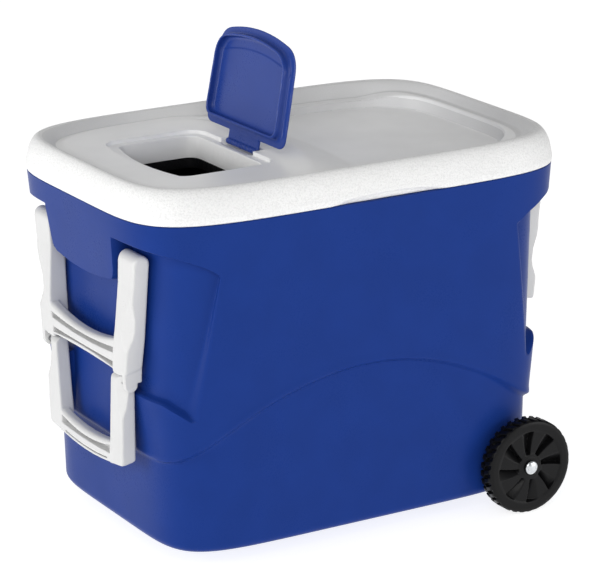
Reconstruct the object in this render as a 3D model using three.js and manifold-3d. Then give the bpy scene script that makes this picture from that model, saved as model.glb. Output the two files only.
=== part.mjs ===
// Wheeled cooler: an insulated box with a lid, a drinks hatch in the lid, two carry handles,
// a pull-out tow link and a pair of wheels.
//
// Millimetres, +Z up. +X is the wheel end, -X is the tow end, -Y is the front with the finger grip.
// Heights inside this file are measured from the flat underside of the box. The exported group lifts
// everything by GROUND_CLEARANCE, so the floor that the wheels and the feet stand on is z = 0.

import * as THREE from 'three';
import { mergeVertices } from 'three/addons/utils/BufferGeometryUtils.js';
import Module from 'manifold-3d';

const wasm = await Module();
wasm.setup();

// ---------- driving dimensions ----------

const GROUND_CLEARANCE = 28; // floor to the underside of the box
const GAP = 0.35; // clearance left between touching pieces

const SEAM_HEIGHT = 413; // where the lid meets the box
const LID_HALF_LENGTH = 300;
const LID_HALF_WIDTH = 210;
const RIM_HEIGHT = 455; // crest of the raised rim round the lid
const CORNER_POWER = 5.5; // superellipse power of the lid's plan
const LID_SKIN = 3;
const OUTLINE_POINTS = 40; // round every lofted outline

const BASE_HALF_LENGTH = 261;
const BASE_HALF_WIDTH = 188.5;
const BASE_POWER = 6.5;
const WAVE_HEIGHT = 118; // where the wave step meets the corners
const BAND_HALF_LENGTH = 267; // the box above the wave step, at WAVE_HEIGHT
const BAND_HALF_WIDTH = 194;
const WALL = 4;
const RECESS_PLANE = 267; // end wall behind the handles
const RECESS_CEILING = 385;
const RECESS_INSET = 4; // how far the corners behind the handles sit inside the band
// Side view (x, z) of the edge of that hollow, from its roof down to its lip.
const RECESS_SIDE = { roof: [215, 352], lipOuter: [268, 184], lipInner: [242, 170] };
const APRON = { halfWidth: 84, bottom: 330, corner: 16 };
// Side view (x, z) of the wave step that crosses the front and the back.
const WAVE_END_HEIGHT = 98;
const WAVE = [
  [-272, 104],
  [-240, 124],
  [-160, 170],
  [-90, 194],
  [10, 205],
  [90, 192],
  [180, 153],
  [235, 118],
  [262, 104],
];

const LINER = { floor: 67, thickness: 3, flange: 3.6 };
const PLUG_BOTTOM = 400; // underside of the lid

const PAD_HEIGHT = 446.5; // raised pad round the hatch
const LEDGE_HEIGHT = 436;
const TRAY_HEIGHT = 428;
const RAMP_TOP_X = -22;
const RAMP_FOOT_X = 30;

const HATCH_AXIS = { x: -66, z: 443.5 };
const HATCH_OPEN_DEG = 101;
const HATCH = { x0: -211.5, x1: -80, halfWidth: 97, corner: 22, top: PAD_HEIGHT + 0.3, skin: 3.6 };
const HATCH_SKIRT = { inset: 8.5, thickness: 3, depth: 14 };
const HATCH_BARREL = { radius: 4.2, pinRadius: 2, halfWidth: 37, pinHalfLength: 47 };
const WELL = { x0: -205, x1: -86, halfWidth: 90.5, corner: 16, whiteBottom: 417 };
const WELL_LEDGE = { x0: -219, x1: -74, halfWidth: 101, corner: 24, depth: 4.1 };
const FREE_EDGE_ARCH = 10; // how far the middle of the hatch's free edge stands out

const PIVOT = { x: 279, z: 358.5, reach: 10.3 }; // both handles, mirrored at the tow end
const KNUCKLE = { x: 285.6, z: 203.5, reach: 9.3 }; // hinge between the tow-end handle and the link
const LUG = { back: 271.5, radius: 8.2, inner: 105.7, outer: 113.6, top: 222 };
const HANDLE_PIN = { radius: 4, inner: 66, outer: 126 };
const KNUCKLE_PIN = { radius: 3, inner: 84, outer: 112 };
const HANDLE = {
  top: { z: 370, outer: 137.5, inner: 94 },
  bottom: { z: 214, outer: 114.5, inner: 80 },
  bar: { low: 217.5, lowRise: 2, high: 256, highSag: 9 },
};
const LINK = {
  top: { z: 214, outer: 105, inner: 75 },
  bottom: { z: 91, outer: 97, inner: 64 },
  bar: { low: 92, lowRise: -3, high: 121, highSag: 7 },
  back: 275,
};

const AXLE = { x: 220, z: 33.5, radius: 5, halfLength: 221, blockHalfLength: 20, blockTop: 46 };
const WHEEL = { radius: 61.5, inner: 190, outer: 219, rim: 46, hub: 14, faceDepth: 8.5 };
const SPACER = { radius: 8.5, inner: 182 };

const LID_HINGE = { y: 216, z: 413.4, spacing: 170, radius: 5.4, pinRadius: 2, halfWidth: 22, tongue: 10 };
const LEAF_OUTER_Y = 213;
const LEAF_INNER_Y = 196;
const SCREW = { radius: 2, length: 12, headRadius: 4.2, headHeight: 1.8, spacing: 13 };
const SCREW_HEIGHT = { box: 396, lid: 430 };

const DRAIN = { z: 72, radius: 11, bore: 7.5, inner: 212, outer: 270 };
const DRAIN_FLANGE = { radius: 16, inner: 265, outer: 267 };
const DRAIN_GASKET = { radius: 14.5, inner: 267.2, outer: 268.6 };
const DRAIN_CAP = { radius: 15, inner: 268.8, outer: 279, end: 4 };
const FOOT = { x0: -204, x1: -132, taper: 8, inner: 38, outer: 92 };

const BEYOND = 320; // outside the whole object, for shapes that cut right through

// ---------- materials ----------

function plastic(color, roughness) {
  return new THREE.MeshStandardMaterial({ color, roughness, metalness: 0 });
}

function metal(color, roughness) {
  return new THREE.MeshStandardMaterial({ color, roughness, metalness: 1 });
}

const blue = plastic(0x1f3b86, 0.35);
const white = plastic(0xf2f2f0, 0.5);
const blackPlastic = plastic(0x1a1a1a, 0.5);
const foam = plastic(0xeadfae, 0.9);
const rubber = plastic(0x222222, 0.8);
const zinc = metal(0xb9bec4, 0.35);
const steel = metal(0x9a9fa5, 0.3);

// ---------- solids ----------

function solidOf(geometry) {
  const bare = geometry.index ? geometry.toNonIndexed() : geometry.clone();
  bare.deleteAttribute('normal');
  bare.deleteAttribute('uv');
  const merged = mergeVertices(bare, 1e-4);
  return new wasm.Manifold(
    new wasm.Mesh({
      numProp: 3,
      vertProperties: new Float32Array(merged.attributes.position.array),
      triVerts: new Uint32Array(merged.index.array),
    }),
  );
}

function geometryOf(solid) {
  const { numProp, vertProperties, triVerts } = solid.getMesh();
  if (numProp !== 3) throw new Error('expected bare positions');
  const geometry = new THREE.BufferGeometry();
  geometry.setAttribute('position', new THREE.BufferAttribute(new Float32Array(vertProperties), 3));
  geometry.setIndex(new THREE.BufferAttribute(new Uint32Array(triVerts), 1));
  geometry.computeVertexNormals();
  return geometry;
}

function joined(solids) {
  return solids.reduce((sum, solid) => sum.add(solid));
}

function without(solid, cutters) {
  return cutters.reduce((rest, cutter) => rest.subtract(cutter), solid);
}

function superellipse(halfLength, halfWidth, power = CORNER_POWER) {
  const points = [];
  for (let i = 0; i < OUTLINE_POINTS; i += 1) {
    const angle = (2 * Math.PI * i) / OUTLINE_POINTS;
    const c = Math.cos(angle);
    const s = Math.sin(angle);
    const x = halfLength * Math.sign(c) * Math.abs(c) ** (2 / power);
    const y = halfWidth * Math.sign(s) * Math.abs(s) ** (2 / power);
    points.push(new THREE.Vector2(x, y));
  }
  return points;
}

// A solid through a stack of rounded outlines. Each level is [height, half length, half width, power].
function loft(levels) {
  const count = OUTLINE_POINTS;
  const positions = [];
  levels.forEach(([z, halfLength, halfWidth, power]) => {
    superellipse(halfLength, halfWidth, power).forEach((p) => positions.push(p.x, p.y, z));
  });
  const bottomCentre = levels.length * count;
  const topCentre = bottomCentre + 1;
  positions.push(0, 0, levels[0][0], 0, 0, levels[levels.length - 1][0]);
  const faces = [];
  for (let i = 0; i < count; i += 1) {
    const next = (i + 1) % count;
    for (let level = 0; level + 1 < levels.length; level += 1) {
      const low = level * count;
      const high = low + count;
      faces.push(low + i, low + next, high + next, low + i, high + next, high + i);
    }
    const top = (levels.length - 1) * count;
    faces.push(bottomCentre, next, i, topCentre, top + i, top + next);
  }
  const geometry = new THREE.BufferGeometry();
  geometry.setAttribute('position', new THREE.Float32BufferAttribute(positions, 3));
  geometry.setAttribute('normal', new THREE.Float32BufferAttribute(positions.length, 3));
  geometry.setIndex(faces);
  return solidOf(geometry);
}

function box(x0, x1, y0, y1, z0, z1) {
  const geometry = new THREE.BoxGeometry(x1 - x0, y1 - y0, z1 - z0);
  geometry.translate((x0 + x1) / 2, (y0 + y1) / 2, (z0 + z1) / 2);
  return solidOf(geometry);
}

function polygon(points) {
  return new THREE.Shape(points.map(([u, v]) => new THREE.Vector2(u, v)));
}

function roundedRectangle(x0, x1, y0, y1, radius) {
  const shape = new THREE.Shape();
  shape.moveTo(x0 + radius, y0);
  shape.lineTo(x1 - radius, y0);
  shape.absarc(x1 - radius, y0 + radius, radius, -Math.PI / 2, 0, false);
  shape.lineTo(x1, y1 - radius);
  shape.absarc(x1 - radius, y1 - radius, radius, 0, Math.PI / 2, false);
  shape.lineTo(x0 + radius, y1);
  shape.absarc(x0 + radius, y1 - radius, radius, Math.PI / 2, Math.PI, false);
  shape.lineTo(x0, y0 + radius);
  shape.absarc(x0 + radius, y0 + radius, radius, Math.PI, 1.5 * Math.PI, false);
  return shape;
}

function extrude(shape, depth, segments) {
  return new THREE.ExtrudeGeometry(shape, { depth, bevelEnabled: false, curveSegments: segments });
}

// A shape drawn in plan, between two heights.
function prismZ(shape, z0, z1, segments = 5) {
  return solidOf(extrude(shape, z1 - z0, segments).translate(0, 0, z0));
}

// A shape drawn in side view (x, z), from y0 to y1.
function prismY(shape, y0, y1, segments = 6) {
  const geometry = extrude(shape, y1 - y0, segments);
  const turn = new THREE.Matrix4().makeBasis(
    new THREE.Vector3(1, 0, 0),
    new THREE.Vector3(0, 0, 1),
    new THREE.Vector3(0, -1, 0),
  );
  return solidOf(geometry.applyMatrix4(turn).translate(0, y1, 0));
}

// A shape drawn in end view (y, z), from x0 to x1.
function prismX(shape, x0, x1, segments = 6) {
  const geometry = extrude(shape, x1 - x0, segments);
  const turn = new THREE.Matrix4().makeBasis(
    new THREE.Vector3(0, 1, 0),
    new THREE.Vector3(0, 0, 1),
    new THREE.Vector3(1, 0, 0),
  );
  return solidOf(geometry.applyMatrix4(turn).translate(x0, 0, 0));
}

function rodY(x, z, radius, y0, y1, segments = 16) {
  const geometry = new THREE.CylinderGeometry(radius, radius, y1 - y0, segments);
  return solidOf(geometry.translate(x, (y0 + y1) / 2, z));
}

function rodX(y, z, radius, x0, x1, segments = 16) {
  const geometry = new THREE.CylinderGeometry(radius, radius, x1 - x0, segments);
  geometry.rotateZ(Math.PI / 2);
  return solidOf(geometry.translate((x0 + x1) / 2, y, z));
}

// A turned piece along Y. Its profile is a list of [radius, distance along the axis].
function turnedY(profile, segments) {
  const points = profile.map(([radius, along]) => new THREE.Vector2(radius, along));
  return solidOf(new THREE.LatheGeometry(points, segments));
}

function mirrorX(solid) {
  return solid.mirror([1, 0, 0]);
}

function mirrorY(solid) {
  return solid.mirror([0, 1, 0]);
}

// ---------- scene graph ----------

const cooler = new THREE.Group();
cooler.position.z = GROUND_CLEARANCE;
const object = new THREE.Group();
object.add(cooler);

function place(name, solid, material, group = cooler) {
  const mesh = new THREE.Mesh(geometryOf(solid), material);
  mesh.name = name;
  group.add(mesh);
  return mesh;
}

// ---------- box outlines ----------

// How far a height lies between two others, from 0 to 1.
function fraction(z, low, high) {
  return (z - low) / (high - low);
}

function lowerLevel(z) {
  const lean = 2 * fraction(z, 0, WAVE_HEIGHT);
  return [z, BASE_HALF_LENGTH + lean, BASE_HALF_WIDTH + lean, BASE_POWER];
}

function upperLevel(z, grow = 0) {
  const t = fraction(z, WAVE_HEIGHT, SEAM_HEIGHT);
  const halfLength = THREE.MathUtils.lerp(BAND_HALF_LENGTH, LID_HALF_LENGTH - 1, t);
  const halfWidth = THREE.MathUtils.lerp(BAND_HALF_WIDTH, LID_HALF_WIDTH - 0.5, t);
  return [z, halfLength + grow, halfWidth + grow, THREE.MathUtils.lerp(7, CORNER_POWER, t)];
}

function recessLevel(z) {
  const [, , halfWidth] = upperLevel(z);
  return [z, RECESS_PLANE, halfWidth - RECESS_INSET, 6];
}

// Side view of everything above the wave line that crosses the front and the back.
function aboveWave() {
  const shape = new THREE.Shape();
  shape.moveTo(-BEYOND, WAVE_END_HEIGHT);
  shape.splineThru(WAVE.map(([x, z]) => new THREE.Vector2(x, z)));
  shape.lineTo(BEYOND, WAVE_END_HEIGHT);
  shape.lineTo(BEYOND, SEAM_HEIGHT + 10);
  shape.lineTo(-BEYOND, SEAM_HEIGHT + 10);
  return prismY(shape, -BEYOND, BEYOND, 3);
}

// Side view of the hollow behind the handle at the wheel end. The roof of the hollow rises
// outwards, so that the arms can swing past level.
function handleRecess() {
  const outline = polygon([
    RECESS_SIDE.roof,
    [RECESS_PLANE - 1, RECESS_CEILING - 1],
    [BEYOND, RECESS_CEILING + 14],
    [BEYOND, RECESS_SIDE.lipOuter[1] + 6],
    RECESS_SIDE.lipOuter,
    RECESS_SIDE.lipInner,
  ]);
  const { halfWidth, bottom, corner } = APRON;
  const apron = prismX(
    roundedRectangle(-halfWidth, halfWidth, bottom, SEAM_HEIGHT + 20, corner),
    RECESS_PLANE - 20,
    BEYOND,
  );
  const core = loft([recessLevel(160), recessLevel(410)]);
  return prismY(outline, -BEYOND, BEYOND).subtract(core).subtract(apron);
}

function boxOuter() {
  const lower = loft([
    [0, BASE_HALF_LENGTH - 11, BASE_HALF_WIDTH - 11, BASE_POWER],
    [3.5, BASE_HALF_LENGTH - 4, BASE_HALF_WIDTH - 4, BASE_POWER],
    lowerLevel(12),
    lowerLevel(230),
  ]);
  const upper = loft([upperLevel(80), upperLevel(SEAM_HEIGHT)]).intersect(aboveWave());
  const recess = handleRecess();
  return without(lower.add(upper), [recess, mirrorX(recess)]);
}

// ---------- pieces that cut others ----------

function handlePin(x, grow = 0) {
  const { radius, inner, outer } = HANDLE_PIN;
  return rodY(x, PIVOT.z, radius + grow, inner - grow, outer + grow);
}

const handlePinHoles = [PIVOT.x, -PIVOT.x]
  .map((x) => handlePin(x, GAP))
  .flatMap((hole) => [hole, mirrorY(hole)]);

const drainHole = rodX(0, DRAIN.z, DRAIN.radius + GAP, DRAIN.inner - 20, DRAIN.outer + 20);

const hingeSides = [
  { end: 'tow', x: -LID_HINGE.spacing },
  { end: 'wheel', x: LID_HINGE.spacing },
];
const screwSites = hingeSides.flatMap(({ end, x }) =>
  [-SCREW.spacing, SCREW.spacing].flatMap((offset, index) => [
    { name: `hinge_screw_box_${end}_${index + 1}`, x: x + offset, z: SCREW_HEIGHT.box },
    { name: `hinge_screw_lid_${end}_${index + 1}`, x: x + offset, z: SCREW_HEIGHT.lid },
  ]),
);

// A hinge screw lies along Y. Its head is on the outside.
function screwSolid(site, grow = 0) {
  const { radius, length, headRadius, headHeight } = SCREW;
  const shank = [
    [0, -length - grow],
    [radius + grow, -length - grow],
    [radius + grow, grow],
  ];
  const head = [
    [headRadius + grow, grow],
    [headRadius + grow, headHeight * 0.4],
    [headRadius * 0.6 + grow, headHeight + grow],
    [0, headHeight + grow],
  ];
  return turnedY([...shank, ...head], 8).translate([site.x, LEAF_OUTER_Y + GAP, site.z]);
}

const screwHoles = screwSites.map((site) => screwSolid(site, GAP));

// ---------- box ----------

// The hollow inside the outer shell. Above the handle recesses it widens to fill the band.
function insideLevels(shrink) {
  return [
    [WALL + shrink, 254 - shrink, 181 - shrink, BASE_POWER],
    [WAVE_HEIGHT, 258 - shrink, 185 - shrink, BASE_POWER],
    [300, 261 - shrink, 195 - shrink, 6],
    [RECESS_CEILING + 3, 262 - shrink, 199.5 - shrink, 6],
    [RECESS_CEILING + 16 + shrink, 292 - shrink, 204 - shrink, CORNER_POWER],
    [SEAM_HEIGHT - 4.4, 293.5 - shrink, 204.5 - shrink, CORNER_POWER],
  ];
}

// The solid rib under the floor that carries the axle.
function axleSpace(grow) {
  const reach = AXLE.blockHalfLength + grow;
  return box(AXLE.x - reach, AXLE.x + reach, -BEYOND, BEYOND, -grow, AXLE.blockTop + grow);
}

function outerShell() {
  const inside = loft([...insideLevels(0), [SEAM_HEIGHT + 1, 293.5, 204.5, CORNER_POWER]]);
  const axleBlock = axleSpace(0).intersect(boxOuter());
  const seat = AXLE.radius + GAP;
  const groove = box(AXLE.x - seat, AXLE.x + seat, -BEYOND, BEYOND, -1, AXLE.z).add(
    rodY(AXLE.x, AXLE.z, seat, -BEYOND, BEYOND),
  );
  const shell = boxOuter().subtract(inside).add(axleBlock);
  return without(shell, [groove, drainHole, ...handlePinHoles, ...screwHoles]);
}

function linerLevels(grow, top) {
  return [
    [LINER.floor - 12 - grow, 205 + grow, 138 + grow, 6],
    [LINER.floor - grow, 217 + grow, 150 + grow, BASE_POWER],
    [SEAM_HEIGHT - 4, 236 + grow, 168 + grow, BASE_POWER],
    [top, 236.3 + grow, 168.3 + grow, BASE_POWER],
  ];
}

function innerLiner() {
  const flangeTop = SEAM_HEIGHT - 0.4;
  const flange = loft([
    [flangeTop - LINER.flange, 293, 204, CORNER_POWER],
    [flangeTop, 293, 204, CORNER_POWER],
  ]);
  const cavity = loft(linerLevels(0, SEAM_HEIGHT + 2));
  return without(loft(linerLevels(LINER.thickness, flangeTop)).add(flange), [cavity, drainHole]);
}

function bodyFoam() {
  const outside = loft(insideLevels(GAP));
  const linerSpace = loft(linerLevels(LINER.thickness + GAP, SEAM_HEIGHT));
  return without(outside, [linerSpace, axleSpace(1), drainHole, ...screwHoles]);
}

place('outer_shell', outerShell(), blue);
place('inner_liner', innerLiner(), blackPlastic);
place('body_foam', bodyFoam(), foam);

// ---------- drain ----------

function drainSpout() {
  const tube = rodX(0, DRAIN.z, DRAIN.radius, DRAIN.inner, DRAIN.outer);
  const flange = rodX(0, DRAIN.z, DRAIN_FLANGE.radius, DRAIN_FLANGE.inner, DRAIN_FLANGE.outer);
  return tube.add(flange).subtract(rodX(0, DRAIN.z, DRAIN.bore, DRAIN.inner - 5, DRAIN.outer + 5));
}

function drainCap() {
  const { radius, inner, outer, end } = DRAIN_CAP;
  const cap = rodX(0, DRAIN.z, radius, inner, outer, 24);
  return cap.subtract(rodX(0, DRAIN.z, DRAIN.radius + 0.5, DRAIN.inner, outer - end));
}

function drainGasket() {
  const { radius, inner, outer } = DRAIN_GASKET;
  const ring = rodX(0, DRAIN.z, radius, inner, outer, 24);
  return ring.subtract(rodX(0, DRAIN.z, DRAIN.radius + 0.4, DRAIN.inner, DRAIN.outer + 5));
}

place('drain_spout', drainSpout(), white);
place('drain_gasket', drainGasket(), rubber);
place('drain_cap', drainCap(), white);

// ---------- lid ----------

function hatchPad() {
  const side = polygon([
    [-BEYOND, TRAY_HEIGHT - 8],
    [RAMP_FOOT_X, TRAY_HEIGHT - 8],
    [RAMP_FOOT_X, TRAY_HEIGHT],
    [RAMP_TOP_X, PAD_HEIGHT],
    [-BEYOND, PAD_HEIGHT],
  ]);
  return prismY(side, -BEYOND, BEYOND).intersect(
    loft([
      [TRAY_HEIGHT - 8, 281, 189, 5],
      [LEDGE_HEIGHT, 270, 179, 5],
      [PAD_HEIGHT + 1, 262, 171, 5],
    ]),
  );
}

// The way in through the lid, under the hatch.
function wellSpace(grow, z0, z1) {
  const { x0, x1, halfWidth, corner } = WELL;
  return prismZ(archedRectangle(x0 - grow, x1 + grow, halfWidth + grow, corner + grow), z0, z1);
}

function wellCut(grow = 0) {
  return wellSpace(grow, PLUG_BOTTOM - 20, RIM_HEIGHT + 5);
}

// A rounded rectangle with its edge at x0 bowed outwards in the middle.
function archedRectangle(x0, x1, halfWidth, corner) {
  const shape = new THREE.Shape();
  const cornerX = x0 + FREE_EDGE_ARCH;
  const straight = halfWidth - corner;
  shape.moveTo(cornerX + corner, -halfWidth);
  shape.lineTo(x1 - corner, -halfWidth);
  shape.absarc(x1 - corner, -straight, corner, -Math.PI / 2, 0, false);
  shape.lineTo(x1, straight);
  shape.absarc(x1 - corner, straight, corner, 0, Math.PI / 2, false);
  shape.lineTo(cornerX + corner, halfWidth);
  shape.quadraticCurveTo(cornerX, halfWidth, cornerX, straight);
  shape.quadraticCurveTo(x0 - FREE_EDGE_ARCH, 0, cornerX, -straight);
  shape.quadraticCurveTo(cornerX, -halfWidth, cornerX + corner, -halfWidth);
  return shape;
}

// The lid's outside, from its widest level up to the roll of the rim.
function lidSideLevels(grow, bottom) {
  return [
    [bottom, LID_HALF_LENGTH + grow, LID_HALF_WIDTH + grow],
    [SEAM_HEIGHT + 7.01, LID_HALF_LENGTH + grow, LID_HALF_WIDTH + grow],
    [SEAM_HEIGHT + 24, LID_HALF_LENGTH - 3 + grow, LID_HALF_WIDTH - 3 + grow],
    [RIM_HEIGHT - 6, LID_HALF_LENGTH - 9 + grow, LID_HALF_WIDTH - 9 + grow],
  ];
}

function lidTop() {
  const outside = loft([
    [SEAM_HEIGHT + 0.5, LID_HALF_LENGTH - 1, LID_HALF_WIDTH - 1],
    ...lidSideLevels(0, SEAM_HEIGHT + 7),
    [RIM_HEIGHT, LID_HALF_LENGTH - 16, LID_HALF_WIDTH - 16],
  ]);
  const hollow = loft([
    [LEDGE_HEIGHT, 271, 181, 5],
    [RIM_HEIGHT + 1, 280, 190, 5],
  ]);
  const tray = loft([
    [TRAY_HEIGHT, 258, 160, 4.5],
    [LEDGE_HEIGHT + 1, 262, 165, 4.5],
  ]);
  const underside = loft([
    [SEAM_HEIGHT - 1, 292, 202, CORNER_POWER],
    [TRAY_HEIGHT - 4, 288, 198, CORNER_POWER],
  ]);
  const fingerGrip = solidOf(new THREE.SphereGeometry(1, 16, 10).scale(78, 7, 12)).translate([
    5,
    -LID_HALF_WIDTH - 2,
    SEAM_HEIGHT,
  ]);
  const chute = wellSpace(LID_SKIN, WELL.whiteBottom, PAD_HEIGHT - LID_SKIN);
  const ledgeHeight = PAD_HEIGHT - WELL_LEDGE.depth;
  const ledge = prismZ(
    archedRectangle(WELL_LEDGE.x0, WELL_LEDGE.x1, WELL_LEDGE.halfWidth, WELL_LEDGE.corner),
    ledgeHeight,
    RIM_HEIGHT + 5,
  );
  const slotHalfWidth = HATCH_BARREL.halfWidth + 3;
  const hingeSlot = box(
    WELL_LEDGE.x1 - 2,
    HATCH_AXIS.x + 8,
    -slotHalfWidth,
    slotHalfWidth,
    HATCH_AXIS.z - HATCH_BARREL.radius - 2 * GAP,
    RIM_HEIGHT + 5,
  );
  const deck = without(outside, [hollow, tray]).add(hatchPad());
  const body = without(deck, [underside, fingerGrip]).add(chute);
  return without(body, [wellCut(), ledge, hingeSlot, hatchPin(GAP), ...screwHoles]);
}

// The part of the lid that drops into the box, drawn in by a skin thickness.
function plugLevels(shrink, top) {
  return [
    [PLUG_BOTTOM + shrink, 224 - shrink, 156 - shrink, BASE_POWER],
    [PLUG_BOTTOM + 5 + shrink * 0.7, 229 - shrink, 161 - shrink, BASE_POWER],
    [top, 230 - shrink, 162 - shrink, BASE_POWER],
  ];
}

function lidLiner() {
  const flangeTop = SEAM_HEIGHT + 4;
  const flange = loft([
    [SEAM_HEIGHT + 0.6, 290, 200, CORNER_POWER],
    [flangeTop, 289, 199, CORNER_POWER],
  ]);
  const plug = loft(plugLevels(0, flangeTop));
  const hollow = loft(plugLevels(LID_SKIN, flangeTop + 2));
  const sleeve = wellSpace(LID_SKIN, PLUG_BOTTOM, WELL.whiteBottom - GAP);
  const tray = flange.add(plug).subtract(hollow).add(sleeve);
  return without(tray, [wellCut(), ...screwHoles]);
}

function lidFoam() {
  const plate = loft([
    [SEAM_HEIGHT + 4 + GAP, 289, 199, CORNER_POWER],
    [TRAY_HEIGHT - 4 - GAP, 287, 197, CORNER_POWER],
  ]);
  const plug = loft(plugLevels(LID_SKIN + GAP, SEAM_HEIGHT + 6));
  return without(plate.add(plug), [wellCut(LID_SKIN + GAP), ...screwHoles]);
}

// ---------- hatch, modelled shut and then swung open about its pin ----------

function hatchPin(grow = 0) {
  const reach = HATCH_BARREL.pinHalfLength + grow;
  return rodY(HATCH_AXIS.x, HATCH_AXIS.z, HATCH_BARREL.pinRadius + grow, -reach, reach, 12);
}

function hatchDoor() {
  const { x0, x1, halfWidth, corner, top, skin } = HATCH;
  const { inset, thickness, depth } = HATCH_SKIRT;
  const drawnIn = (by) => archedRectangle(x0 + by, x1 - by, halfWidth - by, corner - by / 2);
  const plate = prismZ(drawnIn(0), top - skin, top);
  const skirt = prismZ(drawnIn(inset), top - depth, top - skin + 0.5).subtract(
    prismZ(drawnIn(inset + thickness), top - depth - 1, top - skin),
  );
  const { radius, halfWidth: barrelHalfWidth } = HATCH_BARREL;
  const tab = box(x1 - 3, HATCH_AXIS.x + 2, -barrelHalfWidth, barrelHalfWidth, top - skin, top);
  const barrel = rodY(HATCH_AXIS.x, HATCH_AXIS.z, radius, -barrelHalfWidth, barrelHalfWidth);
  return joined([plate, skirt, tab, barrel]).subtract(hatchPin(GAP));
}

const hatchSwing = new THREE.Group();
hatchSwing.position.set(HATCH_AXIS.x, 0, HATCH_AXIS.z);
hatchSwing.rotation.y = THREE.MathUtils.degToRad(HATCH_OPEN_DEG);
cooler.add(hatchSwing);

place('lid_top', lidTop(), white);
place('lid_liner', lidLiner(), blackPlastic);
place('lid_foam', lidFoam(), foam);
place('hatch_pin', hatchPin(), steel);
place('hatch_door', hatchDoor().translate([-HATCH_AXIS.x, 0, -HATCH_AXIS.z]), blue, hatchSwing);

// ---------- lid hinges ----------

function boxLeaf(x) {
  const { y, z, radius, halfWidth, tongue } = LID_HINGE;
  const screwZ = SCREW_HEIGHT.box;
  const plate = box(x - halfWidth, x + halfWidth, LEAF_INNER_Y, LEAF_OUTER_Y, screwZ - 10, screwZ + 11);
  const web = box(x - halfWidth, x + halfWidth, LEAF_OUTER_Y - 3.5, LEAF_OUTER_Y, screwZ + 4, z);
  const knuckle = rodX(y, z, radius, x - halfWidth, x + halfWidth);
  const leaf = plate.add(web).add(knuckle);
  const between = box(x - tongue - 0.4, x + tongue + 0.4, 190, 230, z - 8, z + 8);
  const boxSpace = loft([upperLevel(300, GAP), upperLevel(SEAM_HEIGHT, GAP)]);
  const lidSpace = loft([
    [SEAM_HEIGHT, LID_HALF_LENGTH + GAP, LID_HALF_WIDTH + GAP],
    [RIM_HEIGHT, LID_HALF_LENGTH + GAP, LID_HALF_WIDTH + GAP],
  ]);
  return without(leaf, [between, boxSpace, lidSpace, lidHingePin(x, GAP), ...screwHoles]);
}

function lidLeaf(x) {
  const { y, z, radius, halfWidth, tongue } = LID_HINGE;
  const screwZ = SCREW_HEIGHT.lid;
  const plate = box(x - halfWidth, x + halfWidth, LEAF_INNER_Y, LEAF_OUTER_Y, screwZ - 10, screwZ + 11);
  const web = box(x - tongue, x + tongue, LEAF_OUTER_Y - 3, LEAF_OUTER_Y, z, screwZ - 6);
  const knuckle = rodX(y, z, radius, x - tongue, x + tongue);
  const lidSpace = loft(lidSideLevels(GAP, SEAM_HEIGHT - 10));
  return without(plate.add(web).add(knuckle), [lidSpace, lidHingePin(x, GAP), ...screwHoles]);
}

function lidHingePin(x, grow = 0) {
  const reach = LID_HINGE.halfWidth - 1 + grow * 8;
  return rodX(LID_HINGE.y, LID_HINGE.z, LID_HINGE.pinRadius + grow, x - reach, x + reach, 12);
}

hingeSides.forEach(({ end, x }) => {
  place(`lid_hinge_box_leaf_${end}_side`, boxLeaf(x), white);
  place(`lid_hinge_lid_leaf_${end}_side`, lidLeaf(x), white);
  place(`lid_hinge_pin_${end}_side`, lidHingePin(x), steel);
});
screwSites.forEach((site) => place(site.name, screwSolid(site), zinc));

// ---------- handles ----------

// End view of a handle: two arms that lean in towards the bottom, and a crossbar whose top edge
// sags. The arms' half widths are given at the top and the bottom.
function handleFront({ top, bottom, bar }) {
  const shape = new THREE.Shape();
  const innerAt = (z) =>
    THREE.MathUtils.lerp(bottom.inner, top.inner, fraction(z, bottom.z, top.z));
  shape.moveTo(-bottom.outer, bottom.z);
  shape.lineTo(-bottom.inner, bottom.z);
  shape.lineTo(-innerAt(bar.low), bar.low);
  shape.quadraticCurveTo(0, bar.low + bar.lowRise * 2, innerAt(bar.low), bar.low);
  shape.lineTo(bottom.inner, bottom.z);
  shape.lineTo(bottom.outer, bottom.z);
  shape.lineTo(top.outer, top.z);
  shape.lineTo(top.inner, top.z);
  shape.lineTo(innerAt(bar.high), bar.high);
  shape.quadraticCurveTo(0, bar.high - bar.highSag * 2, -innerAt(bar.high), bar.high);
  shape.lineTo(-top.inner, top.z);
  shape.lineTo(-top.outer, top.z);
  return shape;
}

// Side view of a carry handle: rounded round its pivot, and thickest at the crossbar.
function carrySide() {
  const shape = new THREE.Shape();
  const { x, z, reach } = PIVOT;
  shape.moveTo(x + reach, z);
  shape.absarc(x, z, reach, 0, Math.PI, false);
  shape.lineTo(x - reach + 0.6, 262);
  shape.lineTo(x - reach + 3, 214);
  shape.lineTo(x + 15.5, 214);
  shape.lineTo(x + 16.8, 256);
  shape.lineTo(x + reach + 0.6, 325);
  return shape;
}

// The handle at the wheel end; the one at the tow end is its mirror image.
function carryHandle(withLugs) {
  const front = prismX(handleFront(HANDLE), RECESS_PLANE - 20, BEYOND);
  const handle = front.intersect(prismY(carrySide(), -BEYOND, BEYOND));
  const fingerRoom = prismY(
    polygon([
      [260, 200],
      [282, 200],
      [282, 262],
      [276, 272],
      [260, 272],
    ]),
    -HANDLE.bottom.inner + 1,
    HANDLE.bottom.inner - 1,
  );
  const lug = rodY(KNUCKLE.x, KNUCKLE.z, LUG.radius, LUG.inner, LUG.outer, 20).add(
    box(LUG.back, KNUCKLE.x + LUG.radius, LUG.inner, LUG.outer, KNUCKLE.z + 2.5, LUG.top),
  );
  const parts = withLugs ? [handle, lug, mirrorY(lug)] : [handle];
  return without(joined(parts), [
    fingerRoom,
    ...handlePinHoles,
    knucklePin(GAP),
    mirrorY(knucklePin(GAP)),
  ]);
}

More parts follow.
